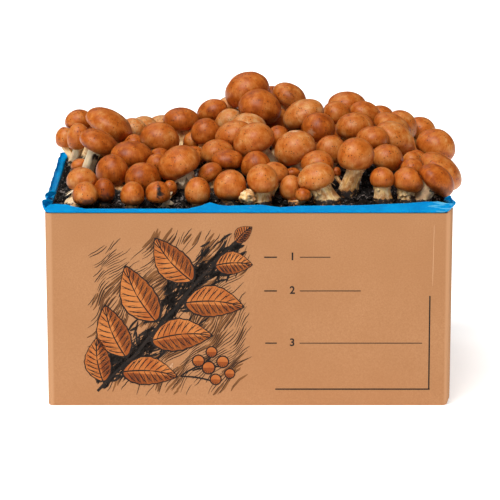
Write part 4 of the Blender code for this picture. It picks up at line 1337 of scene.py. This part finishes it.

# %% [markdown]
# ## Skin and flesh
#
# The skin of a brown cap is dry and satin, like soft leather. Its russet is laid over pale flesh in fine
# fibres that run out from the crown, so it is mottled and lets some light in, and it carries small dark
# specks, most of them near the crown. Stems are cream, streaked along their length, stained tan where they
# were bruised and black where peat clings to them. Some stems and flaps are painted paler as painted light,
# and holes are painted dark as painted shade. Both read attributes that are written on the points: skin
# follows the surface round and along, tone is one value for each mushroom, and marks holds soil, pale patches
# with the painted light, and bruises with the painted shade of holes.

# %% Brown skin
brown_skin, tree, shader = new_material("brown_skin")
place = add(tree, "TexCoord").outputs["Object"]
skin_map = add(tree, "Attribute", attribute_name="skin").outputs["Vector"]
tone = add(tree, "Attribute", attribute_name="tone").outputs["Fac"]
marks = add(
    tree, "SeparateXYZ", {"Vector": add(tree, "Attribute", attribute_name="marks").outputs["Vector"]},
)
along = add(tree, "SeparateXYZ", {"Vector": skin_map}).outputs["Z"]
blotches = add(
    tree, "TexNoise", {"Vector": place, "Scale": per_metre(10), "Detail": 6.0, "Roughness": 0.62},
)
combed = add(tree, "Mapping", {"Vector": skin_map, "Scale": (9.0, 9.0, 1.6)})
streaks = add(tree, "TexNoise", {"Vector": combed, "Scale": 2.2, "Detail": 4.0, "Roughness": 0.65})
mixed = add(tree, "Math", {0: streaks, 1: 0.32, 2: blotches}, operation="MULTIPLY_ADD")
shifted = add(tree, "Math", {0: tone, 1: 0.30, 2: mixed}, operation="MULTIPLY_ADD")
russet = add(
    tree, "ValToRGB", {"Fac": shifted},
    [(0.46, "98440B"), (0.64, "BD631E"), (0.80, "CC7F3C"), (0.95, "D9A46E")],
)
speck_cells = add(tree, "TexVoronoi", {"Vector": place, "Scale": per_metre(2.9)})
dice = add(tree, "SeparateColor", {"Color": speck_cells.outputs["Color"]})
chosen = add(tree, "MapRange", {"Value": dice.outputs["Red"], "From Min": 0.25, "From Max": 0.4})
uneven = add(
    tree, "Math", {0: blotches, 1: 0.3, 2: speck_cells.outputs["Distance"]}, operation="MULTIPLY_ADD",
)
speck_size = add(
    tree, "MapRange", {"Value": uneven, "From Min": 0.28, "From Max": 0.42, "To Min": 0.9, "To Max": 0.0},
)
speck_patch = add(tree, "TexNoise", {"Vector": place, "Scale": per_metre(8), "Detail": 2.0})
near_crown = add(
    tree, "MapRange", {"Value": along, "From Min": 0.1, "From Max": 0.95, "To Min": 0.17, "To Max": -0.06},
)
patchy = add(tree, "Math", {0: speck_patch, 1: near_crown}, operation="ADD")
where = add(tree, "MapRange", {"Value": patchy, "From Min": 0.47, "From Max": 0.57})
placed = add(tree, "Math", {0: speck_size, 1: where}, operation="MULTIPLY")
specks = add(tree, "Math", {0: placed, 1: chosen}, operation="MULTIPLY")
scab_noise = add(
    tree, "TexNoise", {"Vector": place, "Scale": per_metre(2.1), "Detail": 4.0, "Distortion": 1.2},
)
on_crown = add(
    tree, "MapRange", {"Value": along, "From Min": 0.05, "From Max": 0.55, "To Min": 0.14, "To Max": -0.12},
)
scabby = add(tree, "Math", {0: scab_noise, 1: on_crown}, operation="ADD")
in_patch = add(tree, "Math", {0: speck_patch, 1: 0.5, 2: scabby}, operation="MULTIPLY_ADD")
scabs = add(tree, "MapRange", {"Value": in_patch, "From Min": 0.99, "From Max": 1.06, "To Max": 0.7})
# Over the russet lie scabs, specks, pale patches, bruises and soil, each over the one before.
skin = russet
for share, code in (
    (scabs, "6E3210"), (specks, "4A2008"), (marks.outputs["Y"], "E3BE98"), (marks.outputs["Z"], "3B1D10"),
    (marks.outputs["X"], "1C1512"),
):
    skin = add(tree, "Mix", {"Factor": share, "A": skin, "B": code}, data_type="RGBA")
satin = add(
    tree, "MapRange", {"Value": streaks, "From Min": 0.3, "From Max": 0.7, "To Min": 0.33, "To Max": 0.45},
)
fine = add(tree, "TexNoise", {"Vector": place, "Scale": per_metre(1.4), "Detail": 3.0})
pits = add(tree, "Math", {0: specks, 1: -0.5, 2: fine}, operation="MULTIPLY_ADD")
bump = add(tree, "Bump", {"Height": pits, "Strength": 0.5, "Distance": 0.35 * MM})
connect(
    tree, shader,
    {
        "Base Color": skin, "Normal": bump, "Roughness": satin, "IOR": 1.42, "Specular IOR Level": 0.36,
        "Subsurface Weight": 0.12, "Subsurface Radius": (1.0, 0.35, 0.12), "Subsurface Scale": 2.5 * MM,
    },
)

# %% Cream flesh
cream_flesh, tree, shader = new_material("cream_flesh")
place = add(tree, "TexCoord").outputs["Object"]
skin_map = add(tree, "Attribute", attribute_name="skin").outputs["Vector"]
marks = add(
    tree, "SeparateXYZ", {"Vector": add(tree, "Attribute", attribute_name="marks").outputs["Vector"]},
)
combed = add(tree, "Mapping", {"Vector": skin_map, "Scale": (1.9, 1.9, 1.4)})
fibres = add(tree, "TexNoise", {"Vector": combed, "Scale": 2.0, "Detail": 4.0, "Roughness": 0.55})
flesh = add(tree, "ValToRGB", {"Fac": fibres}, [(0.3, "DFA352"), (0.45, "F4C986"), (0.62, "FFE3B2")])
along = add(tree, "SeparateXYZ", {"Vector": skin_map}).outputs["Z"]
lower = add(tree, "MapRange", {"Value": along, "From Min": 1.05, "From Max": 1.5, "To Max": 0.15})
stains = add(tree, "TexNoise", {"Vector": place, "Scale": per_metre(8), "Detail": 5.0, "Roughness": 0.62})
stain_sum = add(tree, "Math", {0: stains, 1: lower}, operation="ADD")
stained = add(tree, "MapRange", {"Value": stain_sum, "From Min": 0.5, "From Max": 0.68, "To Max": 0.85})
dots = add(tree, "TexVoronoi", {"Vector": place, "Scale": per_metre(2.4)})
dot = add(
    tree, "MapRange",
    {"Value": dots.outputs["Distance"], "From Min": 0.12, "From Max": 0.3, "To Min": 1.0, "To Max": 0.0},
)
dirt_patch = add(
    tree, "TexNoise", {"Vector": place, "Scale": per_metre(3.5), "Detail": 4.0, "Roughness": 0.7},
)
clinging = add(tree, "Math", {0: marks.outputs["X"], 1: 0.62, 2: dirt_patch}, operation="MULTIPLY_ADD")
clung = add(tree, "MapRange", {"Value": clinging, "From Min": 0.72, "From Max": 0.86})
dotted = add(tree, "Math", {0: dot, 1: marks.outputs["X"]}, operation="MULTIPLY")
dirt = add(tree, "Math", {0: clung, 1: dotted}, operation="MAXIMUM")
# Over the flesh lie tan stains, pale patches that are painted light, bruises with the painted shade of holes,
# and dirt.
for share, code in (
    (stained, "B4691B"), (marks.outputs["Y"], "F8E6C6"), (marks.outputs["Z"], "3B2416"), (dirt, "241A14"),
):
    flesh = add(tree, "Mix", {"Factor": share, "A": flesh, "B": code}, data_type="RGBA")
bump = add(tree, "Bump", {"Height": fibres, "Strength": 0.3, "Distance": 0.4 * MM})
connect(
    tree, shader,
    {
        "Base Color": flesh, "Normal": bump, "Roughness": 0.62,
        "Subsurface Weight": 0.12, "Subsurface Radius": (1.0, 0.6, 0.35), "Subsurface Scale": 2.5 * MM,
    },
)

# %% The turned lattice
def turned_lattice(rings, sides):
    """A column of rings round the Z axis, closed at both ends. Heights count the rings downwards."""
    bm = bmesh.new()
    verts = [bm.verts.new((0 if h in (0, rings + 1) else 1, 0, -h)) for h in range(rings + 2)]
    edges = [bm.edges.new(pair) for pair in zip(verts, verts[1:])]
    bmesh.ops.spin(
        bm, geom=verts + edges, cent=(0, 0, 0), axis=(0, 0, 1), angle=2 * math.pi, steps=sides, use_merge=True
    )
    bmesh.ops.remove_doubles(bm, verts=bm.verts, dist=0.01)
    bmesh.ops.recalc_face_normals(bm, faces=bm.faces)
    return to_mesh(bm)


class Lattice:
    """A turned lattice, and which ring and side each of its points is on."""

    def __init__(self, rings, sides):
        self.rings = rings
        self.mesh = turned_lattice(rings, sides)
        places = np.array([v.co for v in self.mesh.vertices])
        self.ring = np.round(-places[:, 2]).astype(int)
        turn = np.arctan2(places[:, 1], places[:, 0]) / (2 * math.pi / sides)
        self.side = np.round(turn).astype(int) % sides
        self.face_ring = [min(self.ring[v] for v in p.vertices) for p in self.mesh.polygons]

    def carried(self, points, top, bottom):
        """The lattice's points, carried to rings of points. The ends go to top and bottom."""
        rows = np.concatenate([[points[0] * 0 + top], points, [points[0] * 0 + bottom]])
        return rows[self.ring, self.side]


lattice = Lattice(RINGS, SIDES)
print("lattice points:", len(lattice.mesh.vertices))

# %% [markdown]
# Some mushrooms carry marks of their own in the photograph: soil on the underside, a black patch, a pale
# nick, a scabby crown. Each is a spot on the plane of the front panel, as the caps are, and it fades over the
# points of its mushroom that are seen there. Holes in a stem and in a stump are not modelled: their shade is
# painted as dark spots.

# %% Marks and tones
# Kinds of mark. The pale kind is also painted light on stems and flaps, and the bruise kind also the painted
# shade of holes.
SOIL, PALE_AND_PAINTED_LIGHT, BRUISE_AND_HOLE_SHADE = range(3)
# Clump, row, kind, x and z in millimetres, half width, half height, strength.
MARKS = (
    ("b22_b23", 0, SOIL, -88, 22, 2.2, 6.5, 1.0),
    ("b22_b23", 0, SOIL, -86, 19, 3.4, 2, 0.8),
    ("a9_a10", 1, SOIL, -157, 9, 12, 5, 0.75),
    ("a11", 0, SOIL, -142, 11, 12, 7, 0.8),
    ("a12", 0, SOIL, -112, 10, 10, 3, 0.5),
    ("c3_c4", 1, BRUISE_AND_HOLE_SHADE, 41, 117, 6, 7, 0.3),
    ("c7", 0, PALE_AND_PAINTED_LIGHT, 60, 81, 3, 2.6, 0.4),
    ("c9", 0, PALE_AND_PAINTED_LIGHT, 44, 81.5, 5, 0.8, 0.8),
    # Painted shade: a dark spot where a hole goes into this stem.
    ("a5_a13", 0, BRUISE_AND_HOLE_SHADE, -150, 57, 3, 3.2, 1.0),
    ("e8_e9", 1, BRUISE_AND_HOLE_SHADE, 160, 15, 3, 3, 1.0),
    ("e8_e9", 0, SOIL, 186, 22, 12, 4, 0.45),
    ("b24", 0, SOIL, -18, 14, 9, 3, 0.6),
    ("b17", 0, BRUISE_AND_HOLE_SHADE, -66, 36, 12, 3, 0.45),
    # Painted shade: dark spots where holes go into the stump.
    ("c11_c12", 2, BRUISE_AND_HOLE_SHADE, 3, 10, 2.4, 2.6, 0.9),
    ("c11_c12", 2, BRUISE_AND_HOLE_SHADE, 0, 17, 1.8, 1.6, 0.8),
    ("c11_c12", 2, BRUISE_AND_HOLE_SHADE, -5, 12, 1.6, 2.2, 0.7),
)
# Stems that are painted paler than the rest as painted light, and how much.
PAINTED_LIGHT_STEMS = {
    ("a9_a10", 0): 0.85, ("a5_a13", 0): 0.85, ("b17", 0): 0.75, ("b22_b23", 0): 0.6, ("a1_a2", 1): 0.6,
    ("c9", 0): 0.6, ("b13_c8", 0): 0.6, ("e8_e9", 0): 0.5,
}
# Tones that the photograph shows: below 0 is darker and redder, above 0 is paler.
TONES = {
    ("b1_b2", 0): 0.55, ("b1_b2", 1): 0.7, ("b3_h3", 0): 0.8, ("b10", 0): 0.6, ("b11_b12", 0): 0.6,
    ("b6_b7", 1): 0.8, ("c5_c6", 1): 0.35, ("a6", 0): -0.3, ("b18_b19", 1): -0.3, ("b22_b23", 1): -0.2,
    ("a11", 0): -0.35, ("e8_e9", 0): -0.3, ("c10", 0): -0.2, ("d8", 0): 0.3, ("c11_c12", 0): 0.2,
    ("c9", 0): 0.3, ("e5", 0): 0.25, ("d6_d9", 0): 0.15, ("a3_a4", 1): 0.0, ("c1", 0): 0.0,
    ("d6_d9", 1): -0.5,
}

# Soil clings to a stem's lower part: how much of it at the most, and from where down, over what share.
SOIL_MOST, SOIL_FROM, SOIL_OVER = 0.85, 0.72, 0.4
# How ragged a mark's edge is, and how wide the rags are.
RAGGED = 0.7
RAG_WIDTH = 2.2 * MM

toss = np.random.default_rng(5)
for mushroom in flush:
    mushroom.tone = TONES.get((mushroom.clump, mushroom.row), toss.uniform(-0.25, 0.25))


def smooth(value):
    """Eases a value from 0 to 1."""
    value = np.clip(value, 0, 1)
    return value * value * (3 - 2 * value)


def marks_of(mushroom, places, share_down):
    """Soil, pale patches with painted light, and bruises with painted hole shade at each point, from 0 to 1.
    share_down is 0 at the neck, 1 at the peat.

    A mark is at full strength inside three quarters of its size, and gone outside one and a quarter.
    """
    made = np.zeros((len(places), 3))
    made[:, SOIL] = SOIL_MOST * smooth((share_down - SOIL_FROM) / SOIL_OVER)
    # Painted light: these stems are painted paler, most just below the neck.
    pale = PAINTED_LIGHT_STEMS.get((mushroom.clump, mushroom.row), 0)
    made[:, PALE_AND_PAINTED_LIGHT] = pale * smooth(share_down * 8) * (1 - share_down / 2)
    nearer = (FRONT - EYE.y) / (places[:, 1] - EYE.y)
    x = (EYE.x + (places[:, 0] - EYE.x) * nearer) / MM
    z = (EYE.z + (places[:, 2] - EYE.z) * nearer - CARTON_HEIGHT) / MM
    facing = places[:, 1] < mushroom.centre.y + 1 * MM
    rough = np.array([noise.noise(Vector(p) / RAG_WIDTH) for p in places])
    for clump, row, kind, mark_x, mark_z, half_x, half_z, strength in MARKS:
        if (clump, row) != (mushroom.clump, mushroom.row):
            continue
        away = np.hypot((x - mark_x) / half_x, (z - mark_z) / half_z) + RAGGED * rough
        made[:, kind] = np.maximum(made[:, kind], strength * facing * smooth((1.25 - away) / 0.5))
    return made


# %% [markdown]
# The veil that joins the margin to the stem tears as the cap opens and leaves ragged flaps, and rough
# handling tears some stems too. Each flap is a small flattened tube that leaves the stem, hangs, and ends in
# a torn tip. It is made on a lattice as the mushrooms are, with fewer points.

# %% Torn flaps
FLAP_RINGS = 6
FLAP_SIDES = 8
FLAP_THICKNESS = 0.5 * MM
# Clump, row, how many flaps, the angles they are spread over (0 is right, -90 is the front), where they
# start down the stem, their length and width in millimetres, and how far they stand off.
FLAPS = (
    ("b17", 0, 9, -150, 20, -0.04, 11, 7, 0.5),
    ("d8", 0, 6, -160, -5, 0.0, 7, 6, 0.35),
    ("a9_a10", 0, 5, -180, -40, 0.25, 11, 4.5, 0.35),
    ("a9_a10", 1, 4, -150, -20, 0.3, 7, 4, 0.3),
    ("b22_b23", 0, 8, -170, 20, 0.1, 12, 7, 0.5),
    ("c11_c12", 2, 6, -180, 0, 0.1, 6, 5, 0.5),
    ("d6_d9", 0, 7, -175, -5, -0.02, 3, 7, 0.3),
    ("c11_c12", 0, 6, -170, -10, 0.0, 3, 6, 0.35),
    ("a5_a13", 0, 5, -160, -20, 0.0, 3, 6, 0.3),
    ("b13_c8", 0, 4, -120, -10, 0.0, 5, 5, 0.3),
    ("e8_e9", 1, 6, -170, -10, 0.05, 5, 6, 0.3),
    ("d11", 0, 5, -160, -10, 0.0, 3, 5, 0.25),
)

flap_lattice = Lattice(FLAP_RINGS, FLAP_SIDES)
# Vector noise starts from the clock unless it is given a seed, and every run has to give the same flaps.
noise.seed_set(4)


def flap_rings(mushroom, angle, start, length, width, stand_off, draw):
    """Rings of one flap, from where it leaves the stem to its tip."""
    axis = (mushroom.neck - mushroom.root).normalized()
    across = Vector((axis.z, 0, -axis.x)).normalized()
    back = axis.cross(across)
    outward = across * math.cos(angle) + back * math.sin(angle)
    sideways = axis.cross(outward)
    begin = mushroom.neck.lerp(mushroom.root, start) + outward * mushroom.stem * 0.97
    twist = draw.uniform(-0.3, 0.3)
    rings = []
    for i in range(FLAP_RINGS):
        share = i / (FLAP_RINGS - 1)
        stray = Vector(noise.noise_vector(begin * 900 + axis * 2 * share)) * 0.5 * MM
        middle = begin - axis * length * share + outward * stand_off * length * share**1.5
        middle += sideways * twist * length * share + stray
        half = width / 2 * math.sqrt(max(1 - share**2, 0.02)) * (1 + draw.uniform(-0.15, 0.15))
        angles = np.arange(FLAP_SIDES) * 2 * math.pi / FLAP_SIDES
        ring = np.outer(np.cos(angles) * half, sideways)
        ring += np.outer(np.sin(angles) * FLAP_THICKNESS / 2, outward)
        rings.append(np.array(middle) + ring)
    return np.array(rings)


# %% Build the clumps
def skin_of(used, rings, sides, seed):
    """A place on the surface for each point: round as a circle, and along, which is 1 at the last of rings.

    seed sets a mushroom or a flap apart from the others.
    """
    angle = used.side * 2 * math.pi / sides
    along = used.ring / rings
    return np.stack([np.cos(angle) + seed, np.sin(angle) + seed, along], axis=1)


def build_clump(clump, members):
    """One mesh of a clump's mushrooms with their flaps, and the attributes that its materials read."""
    bm = bmesh.new()
    places, skins, tones, marks, slots = [], [], [], [], []
    for mushroom in members:
        number = flush.index(mushroom)
        crown = mushroom.points[0].mean(0)
        spots = lattice.carried(mushroom.points, crown, mushroom.points[-1].mean(0))
        bm.from_mesh(lattice.mesh)
        places.append(spots)
        skins.append(skin_of(lattice, NECK, SIDES, 3.0 * number))
        tones.append(np.full(len(spots), mushroom.tone))
        down = np.clip((lattice.ring - NECK) / (STEM_RINGS - BURIED_RINGS - 1), 0, 1)
        marks.append(marks_of(mushroom, spots, down))
        skinned = 0 if (clump, mushroom.row) in STUMPS else len(CAP_ROWS)
        slots += [0 if ring < skinned else 1 for ring in lattice.face_ring]
        for entry in FLAPS:
            if entry[:2] != (clump, mushroom.row):
                continue
            _, _, count, first, last, start, length, width, stand_off = entry
            for turn in np.linspace(first, last, count):
                angle = math.radians(turn + toss.uniform(-8, 8))
                long = length * MM * toss.uniform(0.6, 1.2)
                rings = flap_rings(mushroom, angle, start, long, width * MM, stand_off, toss)
                spots = flap_lattice.carried(rings, rings[0].mean(0), rings[-1].mean(0))
                bm.from_mesh(flap_lattice.mesh)
                places.append(spots)
                skins.append(skin_of(flap_lattice, FLAP_RINGS, FLAP_SIDES, turn))
                tones.append(np.full(len(spots), mushroom.tone))
                torn = np.zeros((len(spots), 3))
                # Painted light: a flap is painted as pale as its stem.
                torn[:, PALE_AND_PAINTED_LIGHT] = PAINTED_LIGHT_STEMS.get((clump, mushroom.row), 0)
                marks.append(torn)
                slots += [1] * len(flap_lattice.face_ring)
    mesh = to_mesh(bm)
    mesh.vertices.foreach_set("co", np.concatenate(places).ravel())
    mesh.polygons.foreach_set("material_index", slots)
    for name, kind, key, values in (
        ("skin", "FLOAT_VECTOR", "vector", skins), ("tone", "FLOAT", "value", tones),
        ("marks", "FLOAT_VECTOR", "vector", marks),
    ):
        mesh.attributes.new(name, kind, "POINT").data.foreach_set(key, np.concatenate(values).ravel())
    mesh.update()
    return mesh


for clump in FLUSH:
    members = [mushroom for mushroom in flush if mushroom.clump == clump]
    node = "mushroom_" + clump
    as_piece("grown_" + clump, build_clump(clump, members), [brown_skin, cream_flesh], [node])

# %% [markdown]
# ## Crumbs
#
# Loose crumbs of peat lie on the layer, thickest round the feet and along the film, where they also close the
# gap between peat and film. Each is a small icosphere, squashed and turned at random: twenty faces are enough
# for something a few millimetres wide. Larger lumps stand where the mushrooms have pushed them up.

# %% Peat crumbs
CRUMB_DOUBLINGS = 13
FOOT_CRUMBS = 16
EDGE_CRUMBS = 1600
# How far out crumbs lie, as a share of the layer, and how far off the film, as a share too.
OUTERMOST = 0.98
OFF_FILM = 0.012
SMALLEST_CRUMB = 0.6 * MM

scatter = np.random.default_rng(23)


def turned_and_squashed(place, size):
    """A matrix that squashes a unit ball, turns it at random and sets it in place."""
    angle = scatter.uniform(0, 2 * math.pi)
    turned = Matrix.Rotation(angle, 4, Vector(scatter.normal(size=3)).normalized())
    squashed = Matrix.Diagonal((*(scatter.uniform(0.5, 1.25, 3) * size / 2), 1))
    return Matrix.Translation(place) @ turned @ squashed


bm = bmesh.new()
bmesh.ops.create_icosphere(bm, subdivisions=1, radius=1.0)
crumb_points = np.array([v.co for v in bm.verts])
crumbs = to_mesh(bm)
# A mesh that is added to itself again and again soon holds thousands of crumbs.
for _ in range(CRUMB_DOUBLINGS):
    bm = bmesh.new()
    bm.from_mesh(crumbs)
    bm.from_mesh(crumbs)
    crumbs = to_mesh(bm)
spots = []
for mushroom in flush:
    for _ in range(FOOT_CRUMBS):
        angle = scatter.uniform(0, 2 * math.pi)
        away = mushroom.stem * FOOT_FLARE + scatter.uniform(0.2, 3) * MM
        spots.append((mushroom.foot.x + math.cos(angle) * away, mushroom.foot.y + math.sin(angle) * away))
for turn in range(EDGE_CRUMBS):
    along = scatter.uniform(-OUTERMOST, OUTERMOST)
    inset = 1 - abs(scatter.normal(0, OFF_FILM))
    side = math.copysign(1, turn % 2 - 0.5)
    if turn % 4 < 2:
        spots.append((along * HALF_X, side * inset * HALF_Y))
    else:
        spots.append((side * inset * HALF_X, along * HALF_Y))
while len(spots) < 2**CRUMB_DOUBLINGS:
    x, y = scatter.uniform(-OUTERMOST, OUTERMOST), scatter.uniform(-OUTERMOST, OUTERMOST)
    spots.append((x * HALF_X, y * HALF_Y))
places = []
for x, y in spots:
    size = scatter.gamma(3, 0.5) * MM + SMALLEST_CRUMB
    x = min(max(x, -HALF_X + size / 2), HALF_X - size / 2)
    y = min(max(y, -HALF_Y + size / 2), HALF_Y - size / 2)
    matrix = np.array(turned_and_squashed(Vector((x, y, surface(x, y) + 0.2 * size)), size))
    places.append(crumb_points @ matrix[:3, :3].T + matrix[:3, 3])
crumbs.vertices.foreach_set("co", np.concatenate(places).ravel())
crumbs.update()
as_piece("peat_crumbs", crumbs, [peat_black], smooth=False)

# %% Lifted lumps
# Each lump: x and z as seen on the plane of the front panel, how far back, and size, in millimetres. Others
# are stacked under it, from the peat up.
LUMPS = (
    (118, 10, 62, 9), (122, 20, 66, 8), (116, 28, 70, 8), (121, 36, 74, 8), (113, 18, 66, 7),
    (125, 12, 58, 7), (110, 8, 50, 6), (117, 4, 44, 6), (124, 28, 72, 7), (119, 44, 78, 7),
    (115, 38, 74, 6), (126, 20, 62, 6), (-176, 16, 40, 6), (-152, 34, 110, 6), (-128, 10, 30, 5),
    (-98, 8, 24, 5), (36, 10, 22, 6), (28, 12, 40, 6), (92, 10, 30, 6), (78, 28, 62, 6), (104, 6, 24, 5),
    (-60, 12, 30, 5), (-34, 12, 30, 5),
)

bm = bmesh.new()
for x, z, back, size in LUMPS:
    middle = sighted(x * MM, z * MM, back * MM)
    base = surface(middle.x, middle.y)
    stacked = max(int((middle.z - base) / (0.6 * size * MM)), 0)
    for level in range(stacked + 1):
        height = base + (middle.z - base) * level / max(stacked, 1)
        wide = size * MM * scatter.uniform(1.2, 1.9)
        matrix = turned_and_squashed(Vector((middle.x, middle.y, height)), wide)
        for vert in bmesh.ops.create_icosphere(bm, subdivisions=4, radius=1.0, matrix=matrix)["verts"]:
            vert.co += Vector(noise.noise_vector(vert.co / (3.5 * MM))) * 1.3 * MM
            vert.co += Vector(noise.noise_vector(vert.co / (1.6 * MM))) * 0.5 * MM
as_piece("peat_lumps", to_mesh(bm), [peat_black])

# %% Bits of straw
STRAWS = 46
# They lie along the front, within about this many millimetres of it.
FROM_FRONT = 18

bm = bmesh.new()
for turn in range(STRAWS):
    x = scatter.uniform(-0.97, 0.97) * HALF_X
    y = -HALF_Y + abs(scatter.normal(0, FROM_FRONT)) * MM + 1 * MM
    length = scatter.uniform(4, 12) * MM
    x = min(max(x, -HALF_X + length), HALF_X - length)
    lying = Matrix.Rotation(math.pi / 2 + scatter.uniform(-0.3, 0.3), 4, "Y")
    turned = Matrix.Rotation(scatter.uniform(-0.5, 0.5), 4, "Z")
    place = Matrix.Translation((x, y, surface(x, y) + 0.8 * MM))
    bmesh.ops.create_cone(
        bm, cap_ends=True, segments=5, radius1=0.45 * MM, radius2=0.25 * MM, depth=length,
        matrix=place @ turned @ lying,
    )
as_piece("straw_bits", to_mesh(bm), [straw_brown])
